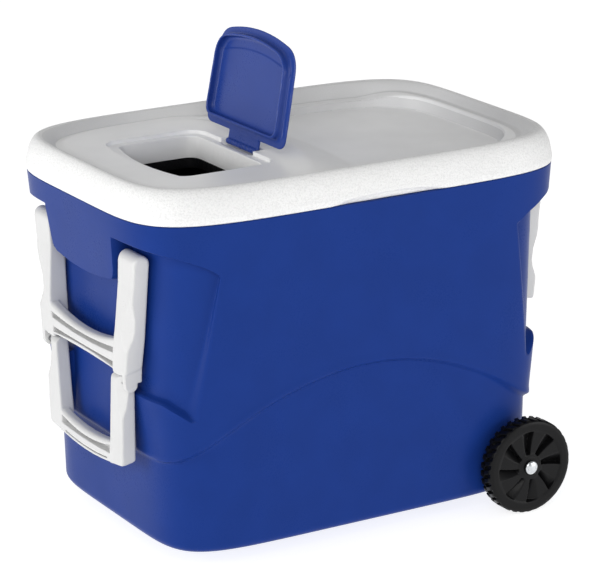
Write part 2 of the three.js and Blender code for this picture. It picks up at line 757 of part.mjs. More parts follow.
function knucklePin(grow = 0) {
  const { radius, inner, outer } = KNUCKLE_PIN;
  return rodY(KNUCKLE.x, KNUCKLE.z, radius + grow, inner - grow, outer + grow, 14);
}

// The link below the tow-end handle, drawn at the wheel end and mirrored with it.
function towLink() {
  const { x, z, reach } = KNUCKLE;
  const bottom = LINK.bottom.z;
  const side = new THREE.Shape();
  side.moveTo(x + reach, z);
  side.absarc(x, z, reach, 0, Math.PI, false);
  side.lineTo(LINK.back, z - 12);
  side.lineTo(LINK.back, bottom + 10);
  side.lineTo(LINK.back + 6, bottom);
  side.lineTo(x + reach - 4, bottom);
  side.lineTo(x + reach, bottom + 8);
  const front = prismX(handleFront(LINK), RECESS_PLANE - 20, BEYOND);
  const link = front.intersect(prismY(side, -BEYOND, BEYOND));
  return without(link, [knucklePin(GAP), mirrorY(knucklePin(GAP))]);
}

place('carry_handle_wheel_end', carryHandle(false), white);
place('carry_handle_tow_end', mirrorX(carryHandle(true)), white);
place('tow_link', mirrorX(towLink()), white);
[
  ['wheel_end', PIVOT.x],
  ['tow_end', -PIVOT.x],
].forEach(([end, x]) => {
  place(`handle_pin_${end}_front`, mirrorY(handlePin(x)), steel);
  place(`handle_pin_${end}_rear`, handlePin(x), steel);
});
place('knuckle_pin_front', mirrorX(mirrorY(knucklePin())), steel);
place('knuckle_pin_rear', mirrorX(knucklePin()), steel);

// ---------- wheels ----------

function wheelSolid() {
  const bore = AXLE.radius + 0.4;
  const middle = (WHEEL.inner + WHEEL.outer) / 2;
  const profile = [
    [bore, WHEEL.inner + 1],
    [WHEEL.hub, WHEEL.inner + 1],
    [WHEEL.hub, middle - 5],
    [WHEEL.rim, middle - 5],
    [WHEEL.rim + 2, WHEEL.inner + 2],
    [58, WHEEL.inner],
    [WHEEL.radius, WHEEL.inner + 4],
    [WHEEL.radius, WHEEL.outer - 5],
    [58, WHEEL.outer - 1],
    [WHEEL.rim + 3, WHEEL.outer - 1.5],
    [WHEEL.rim, WHEEL.outer - WHEEL.faceDepth],
    [WHEEL.hub + 1, WHEEL.outer - 4],
    [WHEEL.hub - 1, WHEEL.outer],
    [bore, WHEEL.outer],
    [bore, WHEEL.inner + 1],
  ];
  return turnedY(profile, 28).translate([AXLE.x, 0, AXLE.z]);
}

function spacer() {
  const tube = rodY(AXLE.x, AXLE.z, SPACER.radius, SPACER.inner, WHEEL.inner + 0.5, 20);
  return tube.subtract(rodY(AXLE.x, AXLE.z, AXLE.radius + 0.4, SPACER.inner - 5, WHEEL.inner + 5, 20));
}

function pushCap() {
  const profile = [
    [0, WHEEL.outer + 2.6],
    [AXLE.radius + 0.3, WHEEL.outer + 2.6],
    [AXLE.radius + 0.3, WHEEL.outer + 0.4],
    [9, WHEEL.outer + 0.4],
    [8.2, WHEEL.outer + 2.4],
    [5, WHEEL.outer + 4.2],
    [0, WHEEL.outer + 4.8],
  ];
  return turnedY(profile, 20).translate([AXLE.x, 0, AXLE.z]);
}

place('axle', rodY(AXLE.x, AXLE.z, AXLE.radius, -AXLE.halfLength, AXLE.halfLength, 20), steel);
[
  ['front', mirrorY],
  ['rear', (solid) => solid],
].forEach(([side, turned]) => {
  place(`wheel_${side}`, turned(wheelSolid()), blackPlastic);
  place(`wheel_spacer_${side}`, turned(spacer()), blackPlastic);
  place(`push_cap_${side}`, turned(pushCap()), zinc);
});

// ---------- feet ----------

function foot() {
  const { x0, x1, taper, inner, outer } = FOOT;
  const side = polygon([
    [x0 + taper, -GROUND_CLEARANCE],
    [x1 - taper, -GROUND_CLEARANCE],
    [x1, -GAP],
    [x0, -GAP],
  ]);
  return prismY(side, inner, outer);
}

place('foot_rear', foot(), blue);
place('foot_front', mirrorY(foot()), blue);

export default object;
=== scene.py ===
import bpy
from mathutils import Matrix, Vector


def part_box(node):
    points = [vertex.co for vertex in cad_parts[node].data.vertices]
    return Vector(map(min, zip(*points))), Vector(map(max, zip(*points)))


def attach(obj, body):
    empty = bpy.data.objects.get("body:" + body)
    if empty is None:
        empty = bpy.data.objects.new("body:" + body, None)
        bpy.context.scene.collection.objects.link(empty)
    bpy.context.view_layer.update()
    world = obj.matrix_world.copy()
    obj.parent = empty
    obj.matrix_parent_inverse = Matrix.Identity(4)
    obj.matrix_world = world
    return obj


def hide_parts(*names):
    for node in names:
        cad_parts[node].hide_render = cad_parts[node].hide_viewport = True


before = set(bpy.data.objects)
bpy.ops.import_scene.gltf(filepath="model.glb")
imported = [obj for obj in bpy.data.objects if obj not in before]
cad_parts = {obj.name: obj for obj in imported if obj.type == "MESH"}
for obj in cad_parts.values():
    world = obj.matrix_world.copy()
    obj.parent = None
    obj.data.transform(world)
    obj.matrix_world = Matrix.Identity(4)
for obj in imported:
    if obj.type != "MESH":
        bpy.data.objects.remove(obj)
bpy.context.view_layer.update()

import math

import bpy
import numpy as np
from mathutils import Matrix, Vector
from numpy import arctan2, clip, cos, hypot, interp, maximum, minimum, pi, sin, stack

# The wheeled cooler's visible skins, materials, light and camera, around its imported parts. Shapes are in
# millimetres, from the flat underside of the box. +X is the wheel end, -X the tow end and -Y the front.

# ---------- driving dimensions, from the frame ----------

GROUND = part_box("outer_shell")[0].z * 1000


def box_mm(node):
    """Lowest and highest corner of a CAD node, in the script's own units."""
    low, high = (np.array(corner) * 1000 - (0, 0, GROUND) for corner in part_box(node))
    return low, high


def axis_of(node):
    """The axis, in X and Z, of a node that lies along Y."""
    low, high = box_mm(node)
    return (low[0] + high[0]) / 2, (low[2] + high[2]) / 2


SHELL_HIGH = box_mm("outer_shell")[1]
LID_LOW, LID_HIGH = box_mm("lid_top")
WHEEL_LOW, WHEEL_HIGH = box_mm("wheel_rear")
KNUCKLE_LOW, KNUCKLE_HIGH = box_mm("knuckle_pin_rear")
DRAIN_LOW, DRAIN_HIGH = box_mm("drain_cap")
FOOT_LOW, FOOT_HIGH = box_mm("foot_rear")

# Half length and half width of the box at its seam, its band's foot and its base, and of the lid.
SEAM = SHELL_HIGH[2]
BAND_TOP = (SHELL_HIGH[0], SHELL_HIGH[1])
BAND_FOOT = (267.0, 194.0)
BAND_FOOT_HEIGHT = 118.0
BASE = (261.0, 188.5)
LID = (LID_HIGH[0], LID_HIGH[1])
RIM = LID_HIGH[2]
PAD, LEDGE, TRAY = RIM - 8.5, RIM - 18, RIM - 27  # heights on the lid

PIVOT_X, PIVOT_Z = axis_of("handle_pin_wheel_end_rear")
KNUCKLE_X, KNUCKLE_Z = -axis_of("knuckle_pin_rear")[0], axis_of("knuckle_pin_rear")[1]
HATCH_X, HATCH_Z = axis_of("hatch_pin")
HATCH_OPEN = math.radians(101)
AXLE_X, AXLE_Z = axis_of("wheel_rear")
WHEEL_RADIUS = (WHEEL_HIGH[0] - WHEEL_LOW[0]) / 2
WHEEL_INNER, WHEEL_OUTER = WHEEL_LOW[1], WHEEL_HIGH[1]

# ---------- mesh helpers ----------


def smooth(t):
    """A soft step, from 0 at t = 0 to 1 at t = 1."""
    t = clip(t, 0, 1)
    return t * t * (3 - 2 * t)


def mix(a, b, share):
    """a at share 0, b at share 1."""
    return a + (b - a) * share


def ramp(x, start, end):
    """0 up to start and 1 from end on, straight between."""
    return clip((x - start) / (end - start), 0, 1)


CROWDING = 0.85  # 0 is even, 1 leaves no room between the closest points


def crowded(count, start, end):
    """Shares from 0 to just under 1, closer together near the start or the end."""
    t = np.arange(count) / count
    if not (start or end):
        return t
    turn = pi * (start + end)
    shift = CROWDING * sin(turn * t) / turn
    return t - shift if start else t + shift


def curve_through(knots, x):
    """A smooth curve through knots (x, z), read at x."""
    kx, kz = np.array(knots, float).T
    slope = np.gradient(kz, kx)
    i = clip(np.searchsorted(kx, x) - 1, 0, len(kx) - 2)
    width = kx[i + 1] - kx[i]
    t = clip((x - kx[i]) / width, 0, 1)
    rise = (t**3 - 2 * t**2 + t) * slope[i] + (t**3 - t**2) * slope[i + 1]
    return mix(kz[i], kz[i + 1], 3 * t**2 - 2 * t**3) + width * rise


def superellipse(angle, half_length, half_width, power):
    """Points of a rounded rectangle in plan. A higher power has tighter corners."""
    c, s = cos(angle), sin(angle)
    reach = (abs(c) ** power + abs(s) ** power) ** (-1 / power)
    return half_length * c * reach, half_width * s * reach


def level_ring(angle, half_length, half_width, power, z):
    """The same outline as a ring of points at one height."""
    x, y = superellipse(angle, half_length, half_width, power)
    return stack([x, y, np.full_like(x, z)], -1)


def ring_faces(rows, columns, looped):
    """Four-sided faces between rings of points numbered row by row."""
    index = np.arange(rows * columns).reshape(rows, columns)
    if looped:
        index = np.vstack([index, index[:1]])
    beside = np.roll(index, -1, axis=1)
    return stack([index[:-1], beside[:-1], beside[1:], index[1:]], -1).reshape(-1, 4)


def new_object(name, data):
    """A new object in the scene, for a mesh, a lamp or a camera."""
    made = bpy.data.objects.new(name, data)
    bpy.context.scene.collection.objects.link(made)
    return made


def link_mesh(name, points, faces, sharp_degrees=50):
    """A new object from points in millimetres. Faces are lists of point numbers."""
    mesh = bpy.data.meshes.new(name)
    metres = (np.asarray(points, float) + (0, 0, GROUND)) / 1000
    mesh.from_pydata(metres.tolist(), [], [list(map(int, face)) for face in faces])
    mesh.polygons.foreach_set("use_smooth", np.ones(len(mesh.polygons), bool))
    mesh.set_sharp_from_angle(angle=math.radians(sharp_degrees))
    mesh.update()
    return new_object(name, mesh)


def ring_mesh(name, rings, looped=False, sharp_degrees=50):
    """A closed skin through a stack of rings. Its ends are filled, or it closes on itself if looped."""
    rings = np.asarray(rings, float)
    rows, columns = rings.shape[:2]
    faces = ring_faces(rows, columns, looped).tolist()
    points = rings.reshape(-1, 3)
    if not looped:
        points = np.vstack([points, rings[0].mean(0), rings[-1].mean(0)])
        count, last = rows * columns, (rows - 1) * columns
        for j in range(columns):
            beside = (j + 1) % columns
            faces += [[count, beside, j], [count + 1, last + j, last + beside]]
    return link_mesh(name, points, faces, sharp_degrees)


def paint_rings(piece, columns, *bands):
    """Gives each band of rings, (first row, material), its own material slot."""
    for _, material in bands:
        piece.data.materials.append(material)
    rows = np.arange(len(piece.data.polygons)) // columns
    starts = np.array([start for start, _ in bands])
    slots = np.searchsorted(starts, rows, side="right") - 1
    piece.data.polygons.foreach_set("material_index", slots.astype(np.int32))


# ---------- solids described by a field ----------
# A field is below zero inside the solid. Its zero level is meshed on a grid, and points drawn onto it.


def soft_max(a, b, blend):
    """What two solids share, its edges rounded over about the blend's width."""
    share = clip(0.5 + 0.5 * (a - b) / blend, 0, 1)
    return mix(b, a, share) + blend * share * (1 - share)


def soft_min(a, b, blend):
    """Two solids joined, with a fillet between them."""
    return -soft_max(-a, -b, blend)


def cells_touched(crossing, axis, corner):
    """The grid edges that are at one corner of every cell."""
    cuts = [slice(None)] * 3
    for other, shift in zip([k for k in range(3) if k != axis], corner):
        cuts[other] = slice(shift, crossing.shape[other] - 1 + shift)
    return tuple(cuts)


def field_mesh(name, field, low, high, step):
    """A closed mesh of a field's zero level, with a point in each grid cell that it crosses."""
    axes = [np.arange(a - 2 * step, b + 3 * step, step) for a, b in zip(low, high)]
    value = field(*np.meshgrid(*axes, indexing="ij"))
    cells = tuple(n - 1 for n in value.shape)
    count, total = np.zeros(cells), np.zeros((*cells, 3))
    edges = []
    for axis in range(3):
        near, far = np.delete(value, -1, axis), np.delete(value, 0, axis)
        crossing = (near < 0) != (far < 0)
        gap = near - far
        place = stack(np.indices(crossing.shape), -1).astype(float)
        place[..., axis] += np.where(crossing, near / np.where(gap == 0, 1, gap), 0)
        for corner in ((0, 0), (0, 1), (1, 0), (1, 1)):
            cut = cells_touched(crossing, axis, corner)
            count += crossing[cut]
            total += place[cut] * crossing[cut][..., None]
        edges.append((axis, np.argwhere(crossing), near[crossing] < 0))
    used = count > 0
    number = np.full(cells, -1)
    number[used] = np.arange(used.sum())
    points = total[used] / count[used][:, None] * step + [a[0] for a in axes]
    faces = []
    for axis, at, solid_first in edges:
        b, c = (axis + 1) % 3, (axis + 2) % 3
        quad = []
        for db, dc in ((1, 1), (0, 1), (0, 0), (1, 0)):
            cell = at.copy()
            cell[:, b] -= db
            cell[:, c] -= dc
            quad.append(number[tuple(cell.T)])
        quad = stack(quad, -1)
        faces.append(np.where(solid_first[:, None], quad, quad[:, ::-1]))
    for _ in range(NEWTON_STEPS):
        points = drawn_onto(field, points, step)
    return link_mesh(name, points, np.vstack(faces).tolist())


NEWTON_STEPS = 3
LEAST_SLOPE = 0.05  # of the squared slope, where the field is nearly flat
LONGEST_MOVE = 0.6  # in grid steps


def drawn_onto(field, points, step):
    """One Newton step of the points towards the field's zero level."""
    here = field(*points.T)
    reach = step * 0.02
    slope = stack([(field(*(points + shift).T) - here) / reach for shift in np.eye(3) * reach], -1)
    steep = maximum((slope**2).sum(-1), LEAST_SLOPE)
    move = -slope * (here / steep)[:, None]
    length = maximum(np.linalg.norm(move, axis=-1, keepdims=True), 1e-9)
    return points + move * minimum(1, LONGEST_MOVE * step / length)


# ---------- materials ----------


class Nodes:
    """A material's or world's nodes, with a short way to add and join them. Sizes are in millimetres."""

    def __init__(self, owner, place="Object"):
        owner.use_nodes = True
        self.owner, self.tree = owner, owner.node_tree
        self.place = self.node("ShaderNodeTexCoord", place, {})

    def feed(self, node, inputs):
        """Joins outputs to a node's inputs, or sets the inputs' own values."""
        for key, value in inputs.items():
            if isinstance(value, bpy.types.NodeSocket):
                self.tree.links.new(value, node.inputs[key])
            else:
                node.inputs[key].default_value = value

    def node(self, kind, output, inputs, **settings):
        """One output of a new node."""
        node = self.tree.nodes.new(kind)
        for key, value in settings.items():
            setattr(node, key, value)
        self.feed(node, inputs)
        return node.outputs[output]

    def noise(self, size, detail=2.0, roughness=0.5):
        inputs = {"Scale": 1000 / size, "Detail": detail, "Roughness": roughness, "Vector": self.place}
        return self.node("ShaderNodeTexNoise", "Fac", inputs)

    def spots(self, size):
        """Distance to the nearest of scattered points."""
        return self.node("ShaderNodeTexVoronoi", "Distance", {"Scale": 1000 / size, "Vector": self.place})

    def spread(self, value, low, high, start=0.0, end=1.0):
        """The value's range from start to end, stretched to run from low to high."""
        inputs = {"Value": value, "From Min": start, "From Max": end, "To Min": low, "To Max": high}
        return self.node("ShaderNodeMapRange", "Result", inputs)

    def total(self, a, b):
        return self.node("ShaderNodeMath", 0, {0: a, 1: b}, operation="ADD")

    def blend(self, share, *colors):
        first, second = ((*c, 1) if isinstance(c, tuple) else c for c in colors)
        return self.node("ShaderNodeMix", 2, {0: share, 6: first, 7: second}, data_type="RGBA")

    def bump(self, height, depth, under=None):
        """A normal from a height, on top of the normal under it."""
        inputs = {"Strength": 1, "Distance": depth / 1000, "Height": height}
        if under is not None:
            inputs["Normal"] = under
        return self.node("ShaderNodeBump", "Normal", inputs)

    def surface(self, **inputs):
        """The finished material, from the shader's inputs, named with _ for a space."""
        inputs = {key.replace("_", " "): value for key, value in inputs.items()}
        self.feed(self.tree.nodes["Principled BSDF"], inputs)
        return self.owner


MOTTLE, GLOSS = 46, 70  # sizes of the slow changes in colour and gloss
WAVINESS, WAVINESS_DEPTH = 28, 0.05
GLOSS_CHANGE = 0.07


def moulded(name, color, roughness, grain, grain_depth, specular=0.5, mottle=0.015,
            pebble=None, speckle=0.0):
    """Moulded plastic: a fine grain, slow waviness, and mottled colour and gloss.
    pebble is (size, depth) of a coarse stipple, and speckle is how far it darkens."""
    n = Nodes(bpy.data.materials.new(name))
    dark = tuple(c * (1 - mottle) for c in color)
    light = tuple(min(1, c * (1 + mottle)) for c in color)
    base = n.blend(n.spread(n.noise(MOTTLE, 3), 0, 1, 0.35, 0.65), dark, light)
    normal = n.bump(n.noise(grain, 3, 0.6), grain_depth)
    normal = n.bump(n.noise(WAVINESS, 1), WAVINESS_DEPTH, normal)
    if pebble:
        size, depth = pebble
        lumps = n.total(n.spread(n.spots(size), 1, 0, 0, 0.6), n.noise(size * 0.8, 2))
        normal = n.bump(lumps, depth, normal)
        if speckle:
            shade = tuple(c * (1 - speckle) for c in color)
            base = n.blend(n.spread(n.noise(size * 0.9, 3, 0.7), 0, 1, 0.47, 0.62), base, shade)
    gloss = n.total(n.noise(GLOSS, 3), n.noise(grain * 2, 2))
    gloss = n.spread(gloss, roughness - GLOSS_CHANGE, roughness + GLOSS_CHANGE, 0.7, 1.3)
    return n.surface(Base_Color=base, Normal=normal, Roughness=gloss, Specular_IOR_Level=specular)


def metal(name, color, roughness, stretch, scratch_depth=0.004):
    """Drawn or plated metal, with fine lines along one direction."""
    n = Nodes(bpy.data.materials.new(name))
    place = n.node("ShaderNodeMapping", "Vector", {"Scale": stretch, "Vector": n.place})
    lines = n.node("ShaderNodeTexNoise", "Fac", {"Scale": 900, "Detail": 4.0, "Vector": place})
    base = n.blend(n.spread(n.noise(7, 3), 0, 1, 0.35, 0.65), color, tuple(c * 0.86 for c in color))
    gloss = n.spread(lines, roughness - 0.08, roughness + 0.1, 0.3, 0.7)
    return n.surface(Base_Color=base, Normal=n.bump(lines, scratch_depth), Roughness=gloss, Metallic=1)


def foam(name):
    """Poured insulation, with small open cells."""
    n = Nodes(bpy.data.materials.new(name))
    cells = n.spots(1.6)
    base = n.blend(n.noise(12, 3), (0.80, 0.70, 0.45), (0.70, 0.59, 0.34))
    return n.surface(Base_Color=base, Normal=n.bump(cells, 0.4), Roughness=n.spread(cells, 0.8, 1))


white_pebbled = moulded("white_pebbled_plastic", (0.86, 0.86, 0.855), 0.55, 0.7, 0.03,
                        pebble=(2.4, 0.36), speckle=0.11)
# The grained white has the real fine grain of the rim's inner walls. Its colour is darker than the other
# whites, and that darkening is painted shade on those walls.
grained_white_painted_shade = moulded("grained_white_plastic_painted_shade", (0.74, 0.74, 0.738), 0.5, 0.9, 0.05, mottle=0.02,
                        pebble=(1.4, 0.06), speckle=0.03)
white_smooth = moulded("white_smooth_plastic", (0.90, 0.90, 0.895), 0.40, 1.2, 0.008)
hinge_steel = metal("hinge_pin_steel", (0.58, 0.59, 0.61), 0.28, (0.06, 1, 1))
MATERIALS = {  # by material slot; the lid has the three whites above
    "blue_shell": moulded("blue_shell_plastic", (0.0090, 0.036, 0.212), 0.32, 0.9, 0.002, 0.07, 0.03),
    "blue_hatch": moulded("blue_hatch_plastic", (0.017, 0.050, 0.275), 0.32, 0.8, 0.004, 0.3, 0.03),
    "white_handle": moulded("white_handle_plastic", (0.635, 0.635, 0.632), 0.34, 1.0, 0.012),
    "white_fittings": moulded("white_fitting_plastic", (0.84, 0.84, 0.83), 0.4, 0.8, 0.02, mottle=0.02),
    # The liners' near-black is painted shade: it stands for the dark seen down inside the hatch's well.
    "black_liner": moulded("liner_plastic_black_painted_shade", (0.005, 0.005, 0.006), 0.5, 1.0, 0.04, 0.2, 0.1,
                           pebble=(3.2, 0.3)),
    "black_wheel": moulded("black_wheel_plastic", (0.005, 0.005, 0.0055), 0.34, 0.9, 0.015, 0.16, 0.12),
    "gasket": moulded("gasket_rubber", (0.02, 0.02, 0.021), 0.75, 0.6, 0.04, mottle=0.1),
    "steel": metal("drawn_steel", (0.56, 0.57, 0.59), 0.3, (1, 0.06, 1)),
    "zinc": metal("zinc_plate", (0.72, 0.74, 0.76), 0.24, (1, 1, 1), 0.008),
    "foam": foam("insulation_foam"),
}


def coat(piece, material):
    piece.data.materials.clear()
    piece.data.materials.append(material)


def finish(piece, body, slot, *nodes):
    """The piece's body, material slot and material, and the CAD nodes that it stands for."""
    if slot in MATERIALS:
        coat(piece, MATERIALS[slot])
    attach(piece, body)
    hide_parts(*nodes)


EDGE_ANGLE = math.radians(40)  # edges sharper than this are softened on a kept node


def keep_node(node, slot, bevel=0.4, material=None):
    """A CAD node whose shape is right: it keeps its mesh and gets a material and softened edges."""
    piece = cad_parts[node]
    coat(piece, material or MATERIALS[slot])
    piece.data.polygons.foreach_set("use_smooth", np.ones(len(piece.data.polygons), bool))
    piece.data.set_sharp_from_angle(angle=EDGE_ANGLE)
    if bevel:
        soft = piece.modifiers.new("soft_edges", "BEVEL")
        soft.width = bevel / 1000
        soft.segments = 3
        soft.limit_method = "ANGLE"
        soft.angle_limit = EDGE_ANGLE


# ---------- camera and light ----------

# The lens looks at the tow end and the front, from a little above: degrees, metres, and its millimetres.
CAMERA_AZIMUTH, CAMERA_ELEVATION, CAMERA_ROLL = -30.168, 17.086, -0.66
CAMERA_DISTANCE, CAMERA_RIGHT, CAMERA_UP = 3.70229, 0.01129, 0.04412
LOOK_HEIGHT = 0.228
FOCAL_LENGTH = 174.997


def make_camera():
    azimuth, elevation, roll = (math.radians(a) for a in (CAMERA_AZIMUTH, CAMERA_ELEVATION, CAMERA_ROLL))
    level = Vector((math.cos(azimuth), math.sin(azimuth), 0))
    back = Vector((level.y, -level.x, 0)) * math.cos(elevation) + Vector((0, 0, math.sin(elevation)))
    upright = back.cross(level)
    right = math.cos(roll) * level + math.sin(roll) * upright
    up = math.cos(roll) * upright - math.sin(roll) * level
    camera = new_object("camera", bpy.data.cameras.new("camera"))
    camera.data.sensor_width = 36
    camera.data.lens = FOCAL_LENGTH
    place = Vector((0, 0, LOOK_HEIGHT)) + back * CAMERA_DISTANCE + right * CAMERA_RIGHT + up * CAMERA_UP
    turn = Matrix((right, up, back)).transposed().to_quaternion()
    camera.matrix_world = Matrix.LocRotScale(place, turn, None)
    bpy.context.scene.camera = camera


def soft_light(name, place, target, size, watts):
    """A rectangular lamp that faces its target, in metres."""
    lamp = bpy.data.lights.new(name, "AREA")
    lamp.shape = "RECTANGLE"
    lamp.size, lamp.size_y = size
    lamp.energy = watts
    light = new_object(name, lamp)
    light.location = place
    light.rotation_euler = (Vector(place) - Vector(target)).to_track_quat("Z", "Y").to_euler()


def make_studio():
    """A sky that darkens upwards, five soft lamps and a plain pale floor."""
    world = bpy.data.worlds.new("studio")
    bpy.context.scene.world = world
    n = Nodes(world, "Generated")
    upwards = n.node("ShaderNodeSeparateXYZ", "Z", {0: n.place})
    sky = n.node("ShaderNodeValToRGB", 0, {0: upwards})
    low, high = sky.node.color_ramp.elements
    low.position, low.color = 0.0, (1, 1, 1, 1)
    high.position, high.color = 0.75, (0.40, 0.40, 0.403, 1)
    n.feed(n.tree.nodes["Background"], {"Color": sky, "Strength": 0.50})

    soft_light("key_front_left", (-2.1, -3.0, 2.1), (0, 0, 0.25), (2.4, 2.4), 58)
    soft_light("fill_front_right", (2.8, -3.2, 0.9), (0, 0, 0.25), (2.0, 1.6), 34)
    soft_light("end_light", (-3.4, 0.9, 1.0), (-0.2, 0, 0.25), (1.6, 1.8), 49)
    soft_light("top_light", (0.2, 0.5, 3.2), (0, 0, 0.3), (3.0, 3.0), 10)
    soft_light("back_light", (1.2, 3.2, 1.6), (0, 0, 0.3), (2.4, 1.4), 6)

    bpy.ops.mesh.primitive_plane_add(size=60, location=(0, 0, 0))
    floor = bpy.context.object
    floor.name = "floor"
    n = Nodes(bpy.data.materials.new("pale_floor"))
    color = n.blend(n.noise(400, 2), (0.50, 0.50, 0.50), (0.53, 0.53, 0.53))
    floor.data.materials.append(n.surface(
        Base_Color=color, Roughness=0.9, Specular_IOR_Level=0.0,
        Emission_Color=(1, 1, 1, 1), Emission_Strength=0.82))
    bpy.context.scene.view_settings.view_transform = "Standard"


make_camera()
make_studio()

# ---------- box shell ----------

BASE_POWER, LID_POWER = 6.5, 5.5
RECESS_PLANE, RECESS_INSET, RECESS_POWER = 267.0, 4.0, 6.0  # end wall behind the handles, and its sides
HANDLE_END = 240.0  # the hollows behind the handles lie beyond this in X
APRON_CORNER = 10.0
APRON_LOW, APRON_RISE = 318.6, 10.5  # its lower edge is bowed, and hangs lowest in the middle
BELLY, BELLY_TOP = 4.5, 60.0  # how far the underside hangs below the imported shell's, and from what height
BOTTOM_FILLET = 11.0
# The raised band's wavy lower edge, and the roof of the hollow, in X and Z.
WAVE = [(-272, 104), (-240, 124), (-160, 170), (-90, 194), (10, 205),
        (90, 192), (180, 153), (235, 118), (262, 104)]
ROOF = ((215, 228, 255, 274, 296), (355, 362.5, 373.8, 378.8, 385))
# The inside of the shell from its seam down: height, half length, half width, corner power.
SHELL_INSIDE = [
    (SEAM, 297.8, 208.3, LID_POWER), (SEAM, 294.0, 205.0, LID_POWER), (SEAM - 0.6, 293.5, 204.5, LID_POWER),
    (SEAM - 4.4, 293.5, 204.5, LID_POWER), (401, 292, 204, LID_POWER), (388, 262, 199.5, 6),
    (300, 261, 195, 6), (BAND_FOOT_HEIGHT, 258, 185, BASE_POWER), (4, 254, 181, BASE_POWER)]


def lower_outline(z):
    """Half length, half width and corner power below the wave."""
    lean = 2 * z / BAND_FOOT_HEIGHT
    below = clip(BOTTOM_FILLET - z, 0, BOTTOM_FILLET)
    inset = BOTTOM_FILLET - np.sqrt(BOTTOM_FILLET**2 - below**2)
    return BASE[0] + lean - inset, BASE[1] + lean - inset, np.full_like(z, BASE_POWER)


def upper_outline(z):
    """The same for the raised band above the wave."""
    t = (z - BAND_FOOT_HEIGHT) / (SEAM - BAND_FOOT_HEIGHT)
    half_length = mix(BAND_FOOT[0], BAND_TOP[0], t)
    half_width = mix(BAND_FOOT[1], BAND_TOP[1], t)
    return half_length, half_width, mix(7.0, LID_POWER, t)


def recess_outline(z):
    """The same for the hollows behind the handles."""
    half_width = upper_outline(z)[1] - RECESS_INSET
    return np.full_like(z, RECESS_PLANE), half_width, np.full_like(z, RECESS_POWER)


def apron_half_width(z):
    return mix(84.0, 90.0, ramp(z, 335, 380))


def recess_edge(z):
    """Where the hollow behind a handle ends on the long sides."""
    return mix(242.0, 215.0, ramp(z, 170, 352))


def apron_bottom(y):
    return APRON_LOW + APRON_RISE * minimum(abs(y) / 88, 1) ** 2


def apron_depth(y, z):
    """Signed distance into the apron, which hangs down between the handle's arms."""
    dy = abs(y) - apron_half_width(z) + APRON_CORNER
    dz = apron_bottom(y) - z + APRON_CORNER
    outside = hypot(maximum(dy, 0), maximum(dz, 0)) + minimum(maximum(dy, dz), 0)
    return APRON_CORNER - outside


def shell_keys(x):
    """The heights of the wave step, the recess's lip and its roof, where a column stands at x."""
    wave = curve_through(WAVE, x)
    reach = abs(x)
    lip = maximum(mix(170, 190, ramp(reach, 242, 267)), wave + 25)
    return wave, lip, interp(reach, *ROOF)


def shell_point(angle, z):
    """Plan position of the shell's outer face, in a direction and at a height."""
    lx, ly = superellipse(angle, *lower_outline(z))
    ux, uy = superellipse(angle, *upper_outline(z))
    rx, ry = superellipse(angle, *recess_outline(z))
    wave, lip, roof = shell_keys(ux)
    at_end = smooth((abs(ux) - HANDLE_END) / 12)
    between_arms = at_end * smooth((apron_half_width(z) - abs(uy)) / 4 + 0.5)
    hollow = maximum(smooth((z - lip) / 4 + 0.5), between_arms)
    slope = 2 + 0.28 * hypot(ux - rx, uy - ry)  # the roof slopes out further where the hollow is deep
    hollow = hollow * (1 - smooth((z - roof + slope) / slope))
    hollow = hollow * smooth((abs(ux) - recess_edge(z) - 2) / 24 + 0.5)
    hollow = hollow * (1 - at_end * smooth(apron_depth(uy, z) / 2.6 + 0.5))
    ux, uy = mix(ux, rx, hollow), mix(uy, ry, hollow)
    raised = smooth((z - wave) / 6.0 + 0.5)
    ridge = 1 + 0.004 * np.exp(-(((z - wave - 5) / 5) ** 2)) * (1 - hollow)
    return mix(lx, ux * ridge, raised), mix(ly, uy * ridge, raised)


# How the shell's columns are shared out from the middle of an end to the middle of a side, and its rows
# from the base to the seam: count, crowded at the start, crowded at the end.
SHELL_COLUMNS = [(14, False, True), (48, True, True), (32, True, False)]
SHELL_ROWS = [(9, False, False), (12, False, True), (16, True, True), (24, True, True), (16, True, True),
              (26, True, False)]


def shared_out(counts):
    """For every line of the grid, its segment and its share of the way through it."""
    share = np.concatenate([crowded(*c) for c in counts] + [[0.0]])
    segment = np.concatenate([np.full(c[0], k) for k, c in enumerate(counts)] + [[len(counts)]])
    return share, segment


def between_stops(stops, segment, share):
    """Mixes each line's own two stops."""
    k = np.broadcast_to(segment, stops[0].shape)[None]
    return mix(np.take_along_axis(stops, k, 0)[0], np.take_along_axis(stops, k + 1, 0)[0], share)


def shell_grid():
    """Angles and heights of the shell's points, crowded along its edges."""
    share, segment = shared_out(SHELL_COLUMNS)
    row_share, row_segment = shared_out(SHELL_ROWS)

    def quarter(z):
        half_length, half_width, power = upper_outline(z)
        along = recess_edge(z) / half_length
        right_angle = np.full_like(z, pi / 2)
        stops = stack([np.zeros_like(z), arctan2(apron_half_width(z) / half_width, 1),
                       arctan2((1 - along**power) ** (1 / power), along), right_angle, right_angle])
        return between_stops(stops, segment, share)

    def heights(x, y):
        wave, lip, roof = shell_keys(x)
        flat = np.zeros_like(x)
        stops = stack([flat, flat + 12, wave, lip, apron_bottom(y), roof - 3, flat + SEAM, flat + SEAM])
        return between_stops(stops, row_segment[:, None], row_share[:, None])

    even = np.tile(np.linspace(0, SEAM, len(row_share))[:, None], (1, len(share)))
    quadrants = []
    for sign in (1, -1):
        z = even
        for _ in range(4):
            x, y = superellipse(quarter(z), *upper_outline(z))
            z = heights(sign * x, y)
        quadrants.append((quarter(z), z))
    (east, east_z), (west, west_z) = quadrants
    angle = np.hstack([east[:, :-1], pi - west[:, :0:-1], pi + west[:, :-1], 2 * pi - east[:, :0:-1]])
    height = np.hstack([east_z[:, :-1], west_z[:, :0:-1], west_z[:, :-1], east_z[:, :0:-1]])
    return angle, height


